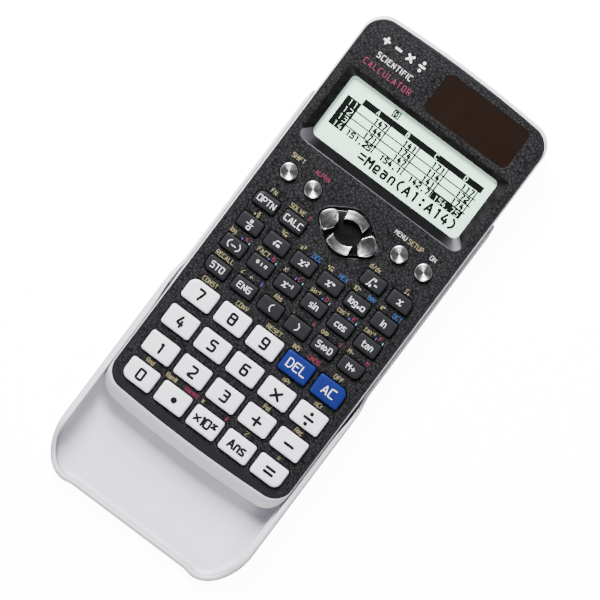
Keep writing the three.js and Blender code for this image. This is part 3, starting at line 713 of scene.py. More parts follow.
# Height and stroke weight of a legend, and how wide its grid units are: by key, or else by colour of key.
BY_COLOUR = {"black_key": (2.1, 0.28, 1.1), "blue_key": (3.1, 0.38, 1.1), "white_key": (3.6, 0.95, 1.1)}
BY_KEY = {
    "integral": (2.5, 0.28, 1.1), "point": (3.6, 1.6, 1.1), "multiply": (4.9, 1.04, 1.1),
    "divide": (4.6, 1.04, 1.3),
}
BY_KEY |= dict.fromkeys(("fraction", "negative", "bracket_open", "bracket_close"), (2.7, 0.28, 1.1))
BY_KEY |= dict.fromkeys(("plus", "minus", "equals"), (3.9, 1.04, 1.5))
BY_KEY |= dict.fromkeys(("exponent", "answer"), (3.1, 0.84, 1.1))


def print_on_plate(text, colour, x, y, height, weight, align="middle", spread=0.8):
    """Adds text to the plate's legends of one colour."""
    store = plate_legends.setdefault(colour, ([], []))
    letter(store, text, x, y, height, weight, lambda *_: PLATE_TOP, align=align, spread=spread, widen=0.98)


SMALL_HEIGHT = 1.55
HOOK_HEIGHT, HOOK_WEIGHT = 1.3, 0.3


def legend_above(name, gap, inset):
    """The small legends over a key; inset is how far in from the key's edges the outer ones start."""
    left, right, _, _ = cap_box(name)
    middle, y = middle_of(cap_box(name))
    y += gap
    texts = LEGENDS.get(name, (name,))[1:]
    places = ("middle",) if len(texts) == 1 else ("left", "right", "middle")
    for text, where in zip(texts, places):
        colour = LEGEND_INKS.get(text, "red" if where == "right" else "yellow")
        x = {"left": left + inset, "middle": middle, "right": right - inset}[where]
        if text in "ABCDEF":
            x, where = right - 2.2, "middle"
            for hook_colour, side in (("violet", -1.5), ("cyan", 1.5)):
                print_on_plate("{hook}", hook_colour, x + side, y - 0.4, HOOK_HEIGHT, HOOK_WEIGHT)
        weight = 0.13 if colour == "white" else 0.19
        print_on_plate(text, colour, x, y, SMALL_HEIGHT, weight, where, spread=0.95)


def make_keys():
    for name in ROUND:
        make_round_key(name)
        legend_above(name, 5.8, -2.8)
    for name in RECTANGULAR:
        material = "black_key" if name in DARK else "blue_key" if name in BLUE else "white_key"
        surface = make_rectangular_key(name, material)
        store = ([], [])
        text = LEGENDS.get(name, (name,))[0]
        height, weight, widen = BY_KEY.get(name, BY_COLOUR[material])
        letter(store, text, *middle_of(cap_box(name)), height, weight, surface, widen=widen)
        ink_name = "dark_ink" if name in WHITE else "white_ink"
        make_piece("legend_" + name, *store, ink_name, "key_" + name)
        legend_above(name, 4.4 if name in DARK else 5.6, -0.9 if name == "point" else 0.35)


# ---------------------------------------------------------------- cursor pad

PAD_VERTEX_Y, PAD_SLOPE = 9.17, 0.61  # the rhombus before its corners are rounded
PAD_TOP_START, PAD_SIDE_START = 4.65, 8.2  # x at which the upper and side corners begin to round
PAD_Y = middle_of(node_box("cursor_pad")[:4])[1]
PAD_TOP = node_box("cursor_pad")[5]
PAD_FLOOR = PLATE_TOP - 0.6  # top of the black rocker, on which the arms stand
PAD_FOOT = PAD_TOP - 4.5  # clears the post, and the rubber domes when the pad rocks
ARM_SHOULDER = ((0.0, -0.5), (0.04, -0.24), (0.13, -0.07), (0.28, 0.0))  # insets and heights below the top
ARM_DISH = 0.16  # how far an arm's top dips between its edges


def pad_outline(grow=0.0, steps=12):
    """The pad's rounded rhombus about its own middle."""
    vertex_y = PAD_VERTEX_Y + grow * math.hypot(1, PAD_SLOPE)
    vertex_x = vertex_y / PAD_SLOPE

    def side_y(x):
        return vertex_y - PAD_SLOPE * x

    def bend(start, control, end):
        curve = []
        for t in shares(steps):
            parts = zip(start, control, end)
            curve.append(tuple(a * (1 - t) ** 2 + b * 2 * t * (1 - t) + c * t * t for a, b, c in parts))
        return curve

    side = (PAD_SIDE_START, side_y(PAD_SIDE_START))
    top = (PAD_TOP_START, side_y(PAD_TOP_START))
    right = bend((side[0], -side[1]), (vertex_x, 0), side)
    upper = bend(top, (0, vertex_y), (-top[0], top[1]))
    return right + upper + half_turned(right + upper)


def pad_arm(outer, inner):
    """One raised plated arm between two matched edges: rolled rim, and a top that dips between them."""
    count = len(outer)
    outline = outer + inner[::-1]
    profile = [(0.0, PAD_FLOOR - 0.1)] + [(inset, PAD_TOP + drop) for inset, drop in ARM_SHOULDER]
    points, faces = joined_rings([at_pad(inset_outline(outline, inset), z) for inset, z in profile])
    last = len(points) - len(outline)
    rows = [[last + i for i in range(count)]]
    for share in (0.2, 0.4, 0.6, 0.8):
        rows.append(list(range(len(points), len(points) + count)))
        for i in range(count):
            near, far = Vector(points[last + i]), Vector(points[last + 2 * count - 1 - i])
            point = near.lerp(far, share)
            point.z -= ARM_DISH * (1 - (2 * share - 1) ** 2)
            points.append(tuple(point))
    rows.append([last + 2 * count - 1 - i for i in range(count)])
    for upper, lower in zip(rows, rows[1:]):
        for i in range(count - 1):
            faces.append((upper[i], upper[i + 1], lower[i + 1], lower[i]))
    # Flat ends of the top, and the underside.
    for end in (0, count - 1):
        faces.append(tuple(row[end] for row in rows))
    for i in range(count - 1):
        faces.append((i, i + 1, 2 * count - 2 - i, 2 * count - 1 - i))
    return points, faces


def at_pad_plan(outline):
    """An outline about the pad's middle, put in its place."""
    return [(x, y + PAD_Y) for x, y in outline]


def at_pad(outline, z):
    return level(at_pad_plan(outline), z)


def half_turned(outline):
    return [(-x, -y) for x, y in outline]


def inset_outline(outline, inset):
    """A counter-clockwise outline moved inwards by the same amount all round."""
    points = [Vector(point) for point in outline]
    moved = []
    for i, point in enumerate(points):
        before = (point - points[i - 1]).normalized()
        after = (points[(i + 1) % len(points)] - point).normalized()
        normal = Vector((-before.y - after.y, before.x + after.x))
        scale = inset / max(0.35, normal.length_squared / 2)
        moved.append(point + normal * scale)
    return moved


def make_cursor_pad():
    """A black rocker with four plated arms standing on it."""
    rings = []
    for grow, z in (
        (-0.1, PAD_FOOT), (-0.1, PAD_FLOOR - 0.35), (-0.22, PAD_FLOOR - 0.1), (-0.5, PAD_FLOOR),
    ):
        rings.append(at_pad(pad_outline(grow), z))
    rings.append(at_pad([(x * 0.45, y * 0.5) for x, y in pad_outline(-0.5)], PAD_FLOOR - 0.25))
    node = "cursor_pad"
    make_piece("pad_base", *capped_rings(rings), "pad_black", node, (node,), "plated_plastic", 50)
    store = ([], [])
    for outer, inner in (upper_arm(), side_arm()):
        add_mesh(store, pad_arm(outer, inner))
        add_mesh(store, pad_arm(half_turned(outer), half_turned(inner)))
    make_piece("pad_arms", *store, "pad_metal", node, (), "plated_plastic", 40)


WELL = (5.2, 4.5)  # half axes of the hollow in the pad's middle
# The slots between the arms: where their middle line would cross the x axis, their angle, and their width.
SLOT_START, SLOT_ANGLE, SLOT_WIDTH = 3.1, 55, 1.75
ARM_STEPS = 16
SIDE_TRIM = 0.985  # keeps the side arm's inner edge just short of its ends


def slot_x(y, side):
    """x of a slot's edge at height y; side is -1 for the upper arm's edge and +1 for the side arm's."""
    angle = math.radians(SLOT_ANGLE)
    return SLOT_START + y / math.tan(angle) + side * SLOT_WIDTH / 2 / math.sin(angle)


def crossing(holds, low, high):
    """The value between low and high where holds() stops being true."""
    for _ in range(30):
        middle = (low + high) / 2
        low, high = (middle, high) if holds(middle) else (low, middle)
    return low


def resampled(points, count):
    """Points at equal steps along a path."""
    lengths = [math.dist(a, b) for a, b in zip(points, points[1:])]
    total, result = sum(lengths), []
    for step in range(count + 1):
        reach = total * step / count
        for i, length in enumerate(lengths):
            if reach <= length or i == len(lengths) - 1:
                share = min(1.0, reach / length) if length else 0.0
                (ax, ay), (bx, by) = points[i], points[i + 1]
                result.append((ax + (bx - ax) * share, ay + (by - ay) * share))
                break
            reach -= length
    return result


def upper_arm():
    """Outer and inner edges of the upper arm, both from right to left."""
    outer = [p for p in pad_outline(0, 40) if p[1] > 0 and abs(p[0]) <= slot_x(p[1], -1)]

    def well_y(x):
        return WELL[1] * math.sqrt(1 - (x / WELL[0]) ** 2)

    reach = crossing(lambda x: x < slot_x(well_y(x), -1), 0.0, WELL[0])
    stations = [reach * (1 - 2 * step / ARM_STEPS) for step in range(ARM_STEPS + 1)]
    inner = [(x, well_y(x)) for x in stations]
    return resampled(outer, ARM_STEPS), inner


def side_arm():
    """Outer and inner edges of the right arm, both from bottom to top."""
    outline = pad_outline(0, 40)
    outer = sorted((p for p in outline if p[0] >= slot_x(abs(p[1]), 1)), key=lambda p: p[1])

    def well_x(y):
        return WELL[0] * math.sqrt(max(0.0, 1 - (y / WELL[1]) ** 2))

    inner = []
    for step in range(ARM_STEPS + 1):
        y = outer[-1][1] * (2 * step / ARM_STEPS - 1) * SIDE_TRIM
        inner.append((max(slot_x(abs(y), 1), well_x(y)), y))
    return resampled(outer, ARM_STEPS), inner


# ---------------------------------------------------------------- face plate and display

PLATE_PLAN = plan_of("face_plate", upper=8.0, lower=7.0, bow=1.0)
KEY_GAP = 0.3
BORDER = dict(side=0.75, above=1.1, below=3.55)  # how wide the smooth strip round the grained panel is


def key_holes():
    holes = [circle(*middle_of(cap_box(name)), ROUND_KEY_RADIUS + KEY_GAP) for name in ROUND]
    return holes + [cap_outline(name, -KEY_GAP) for name in RECTANGULAR]


DISPLAY = (-31.25, 31.25, 33.0, 58.1)  # the visible part
DISPLAY_CORNERS = (1.6, 1.6, 2.3, 2.3)
RECESS = (-34.4, 34.4, 29.4, 60.0)  # the sloping frame round it
RECESS_CORNERS = (0.6, 0.6, 2.7, 2.7)
SOLAR_CORNER, SOLAR_GAP = 2.3, 0.25


def make_face_plate():
    """Smooth border strip, with the grained panel standing a hair above it."""
    low = node_box("face_plate")[4]
    holes = key_holes() + [
        at_pad_plan(pad_outline(0.6)),
        rounded_box(*grown(node_box("solar_cell")[:4], SOLAR_GAP), SOLAR_CORNER + SOLAR_GAP),
        rounded_box(*RECESS, RECESS_CORNERS),
    ]
    panel_plan = inside(PLATE_PLAN, **BORDER, upper=7.2, lower=4.5, bow=0.9)
    sheet_with_holes(
        "face_panel", bowed_plan(**panel_plan), holes, low + 0.3, PLATE_TOP, 0.09, "grained", "case",
        stands_for=("face_plate",), slot="face_plastic", sharp=50,
    )
    border_hole = bowed_plan(**inside(panel_plan, 0.04, 0.04, 0.04))
    sheet_with_holes(
        "face_border", bowed_plan(**PLATE_PLAN), [border_hole], low, PLATE_TOP - 0.06, 0.16, "border",
        "case", slot="face_plastic", sharp=50,
    )


def make_pad_rim():
    """Low moulded rim round the cursor pad."""
    section = ((0.75, -0.1), (0.78, 0.1), (0.95, 0.16), (1.15, 0.1), (1.22, -0.1))
    rings = [at_pad(pad_outline(grow, 20), PLATE_TOP + z) for grow, z in section]
    trim("pad_rim", joined_rings(rings, closed_path=True), "border", 70)


def make_display_edge_highlight():
    """Thin round ridge under the display, tapering at both ends: it stands in for the highlight on the
    recess's lower edge, and its paler grey is a painted highlight.
    """
    rings = []
    for x, radius in ((-31.4, 0.02), (-30.4, 0.17), (30.4, 0.17), (31.4, 0.02)):
        section = arc(RECESS[2] - 0.08, PLATE_TOP, radius, 0, 315, 7)
        rings.append([(x, y, z) for y, z in section])
    trim("display_edge_highlight", capped_rings(rings), "ridge", 70)


def trim(name, mesh, material, sharp):
    """A detail of the face plate that stands for no CAD node."""
    return make_piece(name, *mesh, material, "case", (), "face_plastic", sharp)


def make_recess():
    """Sloping walls from the plate down to the display; the lower slope runs round both lower corners."""
    top, sill, under = PLATE_TOP - 0.02, PLATE_TOP - 1.6, PLATE_TOP - 1.9
    outer = rounded_box(*RECESS, RECESS_CORNERS)
    lip = rounded_box(*grown(RECESS, -0.12), RECESS_CORNERS)
    inner = rounded_box(*DISPLAY, DISPLAY_CORNERS)
    under_edge = rounded_box(*grown(DISPLAY, 0.05), DISPLAY_CORNERS)
    rings = [level(outer, under), level(outer, top), level(lip, top - 0.03), level(inner, sill)]
    rings.append(level(under_edge, under))
    recess = trim("display_recess", joined_rings(rings, closed_path=True), "recess", 25)
    # The lower slope's corner faces take the material with the painted highlight.
    recess.data.materials.append(MATERIALS["mitre_highlight"])
    inner_bend_end = DISPLAY[2] + DISPLAY_CORNERS[2] + 0.01
    outer_bend_end = RECESS[2] + RECESS_CORNERS[2] - 0.1
    for face in recess.data.polygons:
        corners = [recess.data.vertices[i].co / MM for i in face.vertices]
        on_slope = min(point.z for point in corners) > under + 0.1
        lowest, highest = min(point.y for point in corners), max(point.y for point in corners)
        if on_slope and highest < inner_bend_end and lowest < outer_bend_end:
            face.material_index = 1


def make_solar_panel():
    """Flush glass panel in a matt frame, cells showing as faint strips."""
    *plan, low, high = node_box("solar_cell")
    outline = rounded_box(*plan, SOLAR_CORNER)
    glass = capped_rings([level(outline, low), level(outline, high - 0.08)])
    make_piece("solar_glass", *glass, "solar", "case", ("solar_cell",), "solar_glass", 40)
    rings = []
    for grow, z in (
        (SOLAR_GAP, low - 0.1), (SOLAR_GAP, high + 0.02), (0.0, high - 0.15), (-0.45, high - 0.32),
        (-0.45, low - 0.1),
    ):
        rings.append(level(rounded_box(*grown(plan, grow), SOLAR_CORNER + grow), z))
    trim("solar_frame", joined_rings(rings, closed_path=True), "solar_frame", 40)


def slab(name, node, material, slot, edge):
    """A plain part with small rounded edges, in the place of a CAD node."""
    *plan, low, high = node_box(node)
    rings = []
    for inset, z in ((edge, low), (0, low + edge), (0, high - edge), (edge, high)):
        rings.append(level(rounded_box(*grown(plan, -inset), 0.6, 3), z))
    make_piece(name, *capped_rings(rings), material, "case", (node,), slot, 30)


LCD_TOP = node_box("lcd_panel")[5]
TABLE_LEFT, TABLE_RIGHT, TABLE_TOP, TABLE_BOTTOM = -22.9, 28.5, 51.3, 39.5  # the table's cells
HEADER_TOP, ROW_NAMES_LEFT, CHOSEN_TOP = 53.7, -28.7, 42.1
COLUMN_ENDS = dict(A=-10.4, B=2.3, C=14.7, D=27.4)  # x of each column's right-hand line
ROW_LINES = (48.3, 45.3, 42.3)
ROWS = (
    ("11", 49.75, "147 141 171 117"),
    ("12", 46.75, "144 174 114 172"),
    ("13", 43.75, "171 147 141 174"),
    ("14", 40.8, "151.25 154.1 142.7 154.75"),
)
CHOSEN = "154.75"  # the value whose cell is highlighted
FORMULA = "=Mean(A1:A14)"
ICON = (-12.6, -9.7, 54.3, 57.2)
ICON_LINE = 0.5


def add_bar(store, left, right, bottom, top):
    outline = rounded_box(left, right, bottom, top, 0.02, 1)
    add_mesh(store, capped_rings([level(outline, LCD_TOP - 0.02), level(outline, LCD_TOP + 0.03)]))


def add_table(dark, pale):
    """Header bars, ruled lines and the values in their cells."""
    add_bar(dark, TABLE_LEFT, TABLE_RIGHT, TABLE_TOP - 0.05, HEADER_TOP)
    add_bar(dark, ROW_NAMES_LEFT, TABLE_LEFT, TABLE_BOTTOM, TABLE_TOP)
    add_bar(dark, COLUMN_ENDS["C"] + 0.3, COLUMN_ENDS["D"], TABLE_BOTTOM, CHOSEN_TOP)
    for y in ROW_LINES:
        add_bar(dark, TABLE_LEFT, TABLE_RIGHT, y - 0.24, y + 0.24)
    for x in COLUMN_ENDS.values():
        add_bar(dark, x - 0.26, x + 0.26, TABLE_BOTTOM + 0.1, TABLE_TOP)

    def over_bars(*_):
        return LCD_TOP + 0.04

    for name, x in COLUMN_ENDS.items():
        letter(pale, name, x - 6, 52.5, 1.6, 0.22, over_bars)
    for name, y, values in ROWS:
        letter(pale, name, TABLE_LEFT - 0.5, y, 2.1, 0.18, over_bars, align="right", pitch=2.1)
        for x, value in zip(COLUMN_ENDS.values(), values.split()):
            store, weight = (pale, 0.2) if value == CHOSEN else (dark, 0.62)
            letter(store, value, x - 0.55, y, 1.85, weight, over_bars, align="right", pitch=1.8)


def add_icon(dark):
    """A boxed letter above the table."""
    left, right, bottom, top = ICON
    letter(dark, "D", *middle_of(ICON), 1.3, 0.6, lambda *_: LCD_TOP)
    for x in (left, right - ICON_LINE):
        add_bar(dark, x, x + ICON_LINE, bottom, top)
    for y in (bottom, top - ICON_LINE):
        add_bar(dark, left, right, y, y + ICON_LINE)


def make_display():
    """Panel with a spreadsheet on it, under a clear window."""
    slab("lcd_glass", "lcd_panel", "lcd_ground", "lcd_glass", 0.2)
    slab("window", "display_window", "window", "clear_window", 0.1)
    dark, pale = ([], []), ([], [])
    add_table(dark, pale)
    letter(dark, FORMULA, 7.6, 36.9, 3.5, 0.86, lambda *_: LCD_TOP, pitch=3.24)
    add_icon(dark)
    make_piece("lcd_segments_dark", *dark, "lcd_dark", "case")
    make_piece("lcd_segments_pale", *pale, "lcd_ground", "case")


def make_name_mark():
    """A plain generic mark: four arithmetic signs over two words that say what the object is."""
    middle = -21.6
    for i, sign in enumerate("+-*/"):
        print_on_plate(sign, "white", middle - 7.4 + i * 5, 74.2, 3.6, 0.8)
    print_on_plate("SCIENTIFIC", "white", middle, 68.4, 1.9, 0.22, spread=1.5)
    print_on_plate("CALCULATOR", "red", middle, 64.2, 2.0, 0.26, spread=1.7)


# ---------------------------------------------------------------- case

BODY_PLAN = plan_of("front_case", upper=8.5, lower=8.5, bow=1.05)


def make_front_case():
    """White frame: a thin flat rim at the sides, a broad sloping end below the keys."""
    _, _, _, _, low, high = node_box("front_case")
    outer = bowed_plan(**BODY_PLAN)
    pocket = bowed_plan(**inside(PLATE_PLAN, -0.1, -0.1, -0.1, upper=8.1, lower=7.1))
    widths = [math.dist(a, b) for a, b in zip(outer, pocket)]
    drops = [min(4.7, 1.2 * width - 0.3) for width in widths]
    turns = [3 - 1.6 * smooth_step(width, 0.65, 4.7) for width in widths]
    rings = [[(a[0] * 0.996, a[1] * 0.998, low) for a in outer], level(outer, low + 0.3)]
    for share in (0, 0.06, 0.15, 0.3, 0.45, 0.6, 0.72, 0.82, 0.9, 0.96, 1):
        ring = []
        for a, b, drop, turn in zip(outer, pocket, drops, turns):
            z = high - drop * (1 - share) ** turn
            ring.append((a[0] + (b[0] - a[0]) * share, a[1] + (b[1] - a[1]) * share, z))
        rings.append(ring)
    ledge = [(x * 0.97, y * 0.985) for x, y in pocket]
    rings += [level(pocket, high - 0.5), level(ledge, high - 2.2), level(ledge, low)]
    frame_mesh = joined_rings(rings, closed_path=True)
    make_piece("case_frame", *frame_mesh, "case", "case", ("front_case",), "case_plastic", 50)


CREASE = math.radians(35)  # sharper edges of a CAD mesh are rounded and stay crisp


def smooth_by_angle():
    """A node group that shades a mesh smooth, but for its creases."""
    tree = bpy.data.node_groups.new("smooth_by_angle", "GeometryNodeTree")
    tree.interface.new_socket("Geometry", in_out="INPUT", socket_type="NodeSocketGeometry")
    tree.interface.new_socket("Geometry", in_out="OUTPUT", socket_type="NodeSocketGeometry")
    start, end = tree.nodes.new("NodeGroupInput"), tree.nodes.new("NodeGroupOutput")
    angle = tree.nodes.new("GeometryNodeInputMeshEdgeAngle")
    sharp = tree.nodes.new("FunctionNodeCompare")
    sharp.data_type, sharp.operation = "FLOAT", "GREATER_THAN"
    sharp.inputs["B"].default_value = CREASE
    faces = tree.nodes.new("GeometryNodeSetShadeSmooth")
    edges = tree.nodes.new("GeometryNodeSetShadeSmooth")
    edges.domain = "EDGE"
    edges.inputs["Shade Smooth"].default_value = False
    tree.links.new(angle.outputs["Unsigned Angle"], sharp.inputs["A"])
    tree.links.new(sharp.outputs[0], edges.inputs["Selection"])
    tree.links.new(start.outputs[0], faces.inputs["Geometry"])
    tree.links.new(faces.outputs[0], edges.inputs["Geometry"])
    tree.links.new(edges.outputs[0], end.inputs[0])
    return tree


SMOOTH = smooth_by_angle()


def soften(name, material, width):
    """Gives a CAD node its material, rounds its edges and shades it smooth."""
    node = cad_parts[name]
    node.data.materials.clear()
    node.data.materials.append(MATERIALS[material])
    weld = node.modifiers.new("weld", "WELD")
    weld.merge_threshold = 0.00001
    bevel = node.modifiers.new("bevel", "BEVEL")
    bevel.width = width * MM
    bevel.segments = 2
    bevel.limit_method = "ANGLE"
    bevel.angle_limit = CREASE
    node.modifiers.new("smooth", "NODES").node_group = SMOOTH


# ---------------------------------------------------------------- slide-on cover

_, COVER_RIGHT, COVER_BOTTOM, COVER_TOP, _, COVER_HIGH = node_box("slide_cover")
COVER = dict(
    top=COVER_TOP, bottom=COVER_BOTTOM, tray_half=COVER_RIGHT, tray_top=COVER_HIGH,
    end_half=COVER_RIGHT - 1.6, rail_half=COVER_RIGHT - 1.05, inner_half=COVER_RIGHT - 2.1,
    flare_top=-26.5, flare_bottom=-36.0, corner_x=28.0, corner_y=-96.0,
    thumb_half=24.0, thumb_bottom=COVER_BOTTOM + 0.6, floor=1.5, rail_top=8.2, end_top=4.5,
)


def smooth_step(value, start, end):
    t = min(1.0, max(0.0, (value - start) / (end - start)))
    return t * t * (3 - 2 * t)


OPEN_END_TAPER = 6.0  # length over which the rails narrow to their open end
TRAY_STATIONS = (-38, -40, -42, -44, -46, -49, -54, -60, -68, -76, -84, -90)  # closer where the wall rises


def cover_edge():
    """Right half of the cover's plan, from its open end round to the middle of its closed end."""
    c = COVER
    path = []
    for t in shares(8):
        widening = (c["rail_half"] - c["end_half"]) * (1 - (1 - t) ** 2.2)
        path.append((c["end_half"] + widening, c["top"] - OPEN_END_TAPER * t))
    path += [(c["rail_half"], 34 - 8 * step) for step in range(8)]
    for t in shares(12):
        y = c["flare_top"] + (c["flare_bottom"] - c["flare_top"]) * t
        path.append((c["rail_half"] + (c["tray_half"] - c["rail_half"]) * smooth_step(t, 0, 1), y))
    path += [(c["tray_half"], y) for y in TRAY_STATIONS]
    reach_x, reach_y = c["tray_half"] - c["corner_x"], c["corner_y"] - c["bottom"]
    for x, y in arc(0, 0, 1, 0, 90, 24):
        path.append((c["corner_x"] + reach_x * x, c["corner_y"] - reach_y * y))
    for t in shares(8)[1:]:
        x = c["corner_x"] + (c["thumb_half"] - c["corner_x"]) * t
        path.append((x, c["bottom"] + (c["thumb_bottom"] - c["bottom"]) * smooth_step(t, 0, 1)))
    return path + [(x, c["thumb_bottom"]) for x in (20, 16, 12, 8, 4, 0)]


# y at which each change along the side starts and ends.
WALL_RISE = (-28, -42)  # from the rails' height to the tray's
ROUNDING_RISE = (-30, -42)  # of the outer edge on top
OPEN_EDGE_START, OPEN_EDGE_END = (-28, -33), (-38, -45.5)  # the top is thinner between these
LEAN_RISE = (-44, -50)  # of the wall, inwards
FILLET_GROWTH = (-60, -70)  # where the wall meets the floor
SIDE_END = 12  # how far round the corner the side's section gives way to the end's
END_WALL = 2.0
FOOT = [(1.3, 0.0), (0.5, 0.12), (0.12, 0.5), (0.0, 1.3)]  # the rounded edge underneath
LIP_REACH, LIP_LEVELS = 0.85, (6.9, 6.6, 5.6, 5.3)  # the snap lip inside the side wall
LOWEST_WITH_LIP = 7.6


def cover_height(y):
    c = COVER
    fall = smooth_step(y, c["corner_y"], c["bottom"] + 1.2)
    height = c["rail_top"] + (c["tray_top"] - c["rail_top"]) * smooth_step(y, *WALL_RISE)
    return height + (c["end_top"] - height) * fall


def cover_section(x, y):
    """The wall's section as (inset, z), from the underside's edge over the top to the floor."""
    c = COVER
    height = cover_height(y)
    along_side = 1 - smooth_step(y, c["corner_y"], c["corner_y"] - SIDE_END)
    wall = max(0.5, (x - c["inner_half"]) * along_side + END_WALL * (1 - along_side))
    thinner = 0.55 * smooth_step(y, *OPEN_EDGE_START) * (1 - smooth_step(y, *OPEN_EDGE_END))
    lean = (0.1 + 0.2 * smooth_step(y, *LEAN_RISE)) * along_side
    top_wall = max(0.45, wall - thinner) + lean
    tall = smooth_step(y, *ROUNDING_RISE)
    round_width, round_height = 0.4 + 1.3 * tall, 0.9 + 0.9 * tall
    section = list(FOOT)
    for across, up in arc(0, 0, 1, 0, 90, 6):
        section.append((round_width * (1 - across), height - round_height * (1 - up)))
    section += [(top_wall - 0.12, height - 0.1), (top_wall, height - 0.4)]
    if height < LOWEST_WITH_LIP:
        section += [(wall, height - 0.5 - 0.1 * k) for k in range(4)]
    else:
        above, lip_top, lip_bottom, below = LIP_LEVELS
        reach = wall + LIP_REACH * along_side
        section += [(wall, min(above, height - 0.5)), (reach, lip_top), (reach, lip_bottom), (wall, below)]
    fillet = 0.4 + 2.4 * smooth_step(y, *FILLET_GROWTH)
    bend_start = min(c["floor"] + fillet, height - 1.4)
    for across, down in arc(0, 0, 1, 0, 90, 4):
        section.append((wall + fillet * (1 - across), bend_start - (bend_start - c["floor"]) * down))
    return section


def make_cover():
    """Tray with side rails: a section swept round its edge, joined by a flat floor."""
    right = cover_edge()
    path = right + [(-x, y) for x, y in reversed(right[:-1])]
    count = len(path)
    points, faces = [], []
    for i, (x, y) in enumerate(path):
        before, after = Vector(path[max(0, i - 1)]), Vector(path[min(count - 1, i + 1)])
        along = (after - before).normalized()
        inward = Vector((along.y, -along.x))
        if i in (0, count - 1):
            inward = Vector((-1 if i == 0 else 1, 0))
        for inset, z in cover_section(abs(x), y):
            points.append((x + inward.x * inset, y + inward.y * inset, z))
    rows = len(points) // count
    for i in range(count - 1):
        for k in range(rows - 1):
            faces.append((i * rows + k, i * rows + k + 1, (i + 1) * rows + k + 1, (i + 1) * rows + k))
    last = (count - 1) * rows
    faces.append(tuple(i * rows + rows - 1 for i in range(count)))
    faces.append(tuple(i * rows for i in reversed(range(count))))
    faces.append(tuple(range(rows)) + tuple(last + k for k in reversed(range(rows))))
    make_piece("cover_tray", points, faces, "cover", "slide_cover", ("slide_cover",), "cover_plastic", 40)


# ---------------------------------------------------------------- put together

make_keys()
make_name_mark()
for colour, store in plate_legends.items():
    make_piece("plate_legends_" + colour, *store, colour + "_ink", "case")
make_cursor_pad()
make_face_plate()
make_pad_rim()
make_display_edge_highlight()
make_recess()
make_solar_panel()
make_display()
make_front_case()
make_cover()
for name, material, width in (
    ("rear_shell", "case", 0.25),
    ("battery_cover", "case", 0.15),
    ("battery_cover_screw", "steel", 0.08),
    ("coin_cell", "steel", 0.3),
    ("circuit_board", "board", 0.1),
    ("key_mat", "rubber", 0.1),
    ("cursor_pivot", "rubber", 0.2),
):
    soften(name, material, width)


# ---------------------------------------------------------------- stage, light and camera

FLOOR_Z = -0.02  # a hair under the cover, so that the two never lie level
FLOOR_REACH = 3000
FLOOR_GLOW = 12  # what the camera sees of it, however it is lit


def make_floor():
    """Pale sheet that looks white to the camera, and can't be seen from below."""
    m = Nodes("floor")
    path = m.add("ShaderNodeLightPath").outputs
    seen = path["Is Camera Ray"]
    pale = m.mix(m.noise(400, 2), (0.93, 0.93, 0.935, 1), (0.95, 0.95, 0.95, 1))
    m.set(Base_Color=m.mix(seen, (0.42, 0.42, 0.42, 1), pale), Roughness=0.7)
    m.set(Emission_Color=(1, 1, 1, 1), Emission_Strength=m.math("MULTIPLY", seen, FLOOR_GLOW))
    # Clear to the very short rays too, so that light reaches the underside of what lies on it.
    touching = m.math("LESS_THAN", path["Ray Length"], 2 * abs(FLOOR_Z) * MM)
    below = m.math("MAXIMUM", touching, m.add("ShaderNodeNewGeometry").outputs["Backfacing"])
    m.blend(below, m.shader.outputs[0], m.add("ShaderNodeBsdfTransparent").outputs[0])
    mesh = bpy.data.meshes.new("floor")
    corners = [(-1, -1), (1, -1), (1, 1), (-1, 1)]
    points = [Vector((x * FLOOR_REACH, y * FLOOR_REACH, FLOOR_Z)) * MM for x, y in corners]
    mesh.from_pydata(points, [], [(0, 1, 2, 3)])
    mesh.materials.append(m.material)
    floor = bpy.data.objects.new("floor", mesh)
    bpy.context.scene.collection.objects.link(floor)


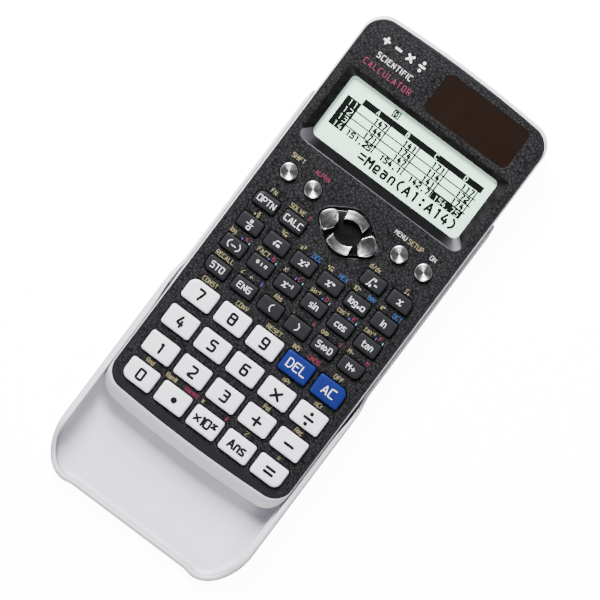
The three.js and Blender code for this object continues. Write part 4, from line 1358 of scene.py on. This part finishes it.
def add_light(name, azimuth, elevation, distance, size, power):
    """A softbox aimed at the calculator; azimuth is measured from +X towards +Y, distance in metres."""
    light = bpy.data.lights.new(name, "AREA")
    light.shape = "RECTANGLE"
    light.size, light.size_y = size
    light.energy = power
    lamp = bpy.data.objects.new(name, light)
    a, e = math.radians(azimuth), math.radians(elevation)
    place = Vector((math.cos(a) * math.cos(e), math.sin(a) * math.cos(e), math.sin(e))) * distance
    lamp.location = place
    lamp.rotation_euler = (-place).to_track_quat("-Z", "Y").to_euler()
    bpy.context.scene.collection.objects.link(lamp)


def make_lights():
    """Softboxes above, below and to the left in the picture. The room is dark overhead and pale low down."""
    world = bpy.data.worlds.new("studio")
    world.use_nodes = True
    tree = world.node_tree
    place = tree.nodes.new("ShaderNodeTexCoord")
    split = tree.nodes.new("ShaderNodeSeparateXYZ")
    fade = tree.nodes.new("ShaderNodeMapRange")
    tree.links.new(place.outputs["Generated"], split.inputs[0])
    tree.links.new(split.outputs["Z"], fade.inputs["Value"])
    for name, value in (("From Min", 0.05), ("From Max", 0.45), ("To Min", 0.8), ("To Max", 0.05)):
        fade.inputs[name].default_value = value
    tree.links.new(fade.outputs["Result"], tree.nodes["Background"].inputs["Strength"])
    tree.nodes["Background"].inputs["Color"].default_value = (1, 1, 1, 1)
    bpy.context.scene.world = world
    add_light("key_light", IMAGE_UP, 41, 0.9, (0.36, 0.5), 52)
    add_light("fill_light", IMAGE_UP + 180, 35, 1.0, (0.4, 0.3), 9)
    add_light("side_light", IMAGE_UP + 110, 20, 1.0, (0.4, 0.3), 4)


TURN = 36.95  # how far the calculator is turned in the picture, clockwise
IMAGE_UP = 90 + TURN
VIEW_WIDTH = 207.0  # how much of the face's level the picture shows
VIEW_MIDDLE = (0.7, -15.6)  # the point under the camera: between the body and the drawn cover


def make_camera():
    """Straight down through a long lens, rolled so that the calculator lies as it does in the picture."""
    camera = bpy.data.cameras.new("camera")
    camera.lens = 200
    camera.sensor_width = 36
    camera.clip_end = 10
    holder = bpy.data.objects.new("camera", camera)
    bpy.context.scene.collection.objects.link(holder)
    distance = VIEW_WIDTH * camera.lens / camera.sensor_width
    holder.location = Vector((*VIEW_MIDDLE, PLATE_TOP + distance)) * MM
    holder.rotation_euler = (0, 0, math.radians(TURN))
    bpy.context.scene.camera = holder


make_floor()
make_lights()
make_camera()
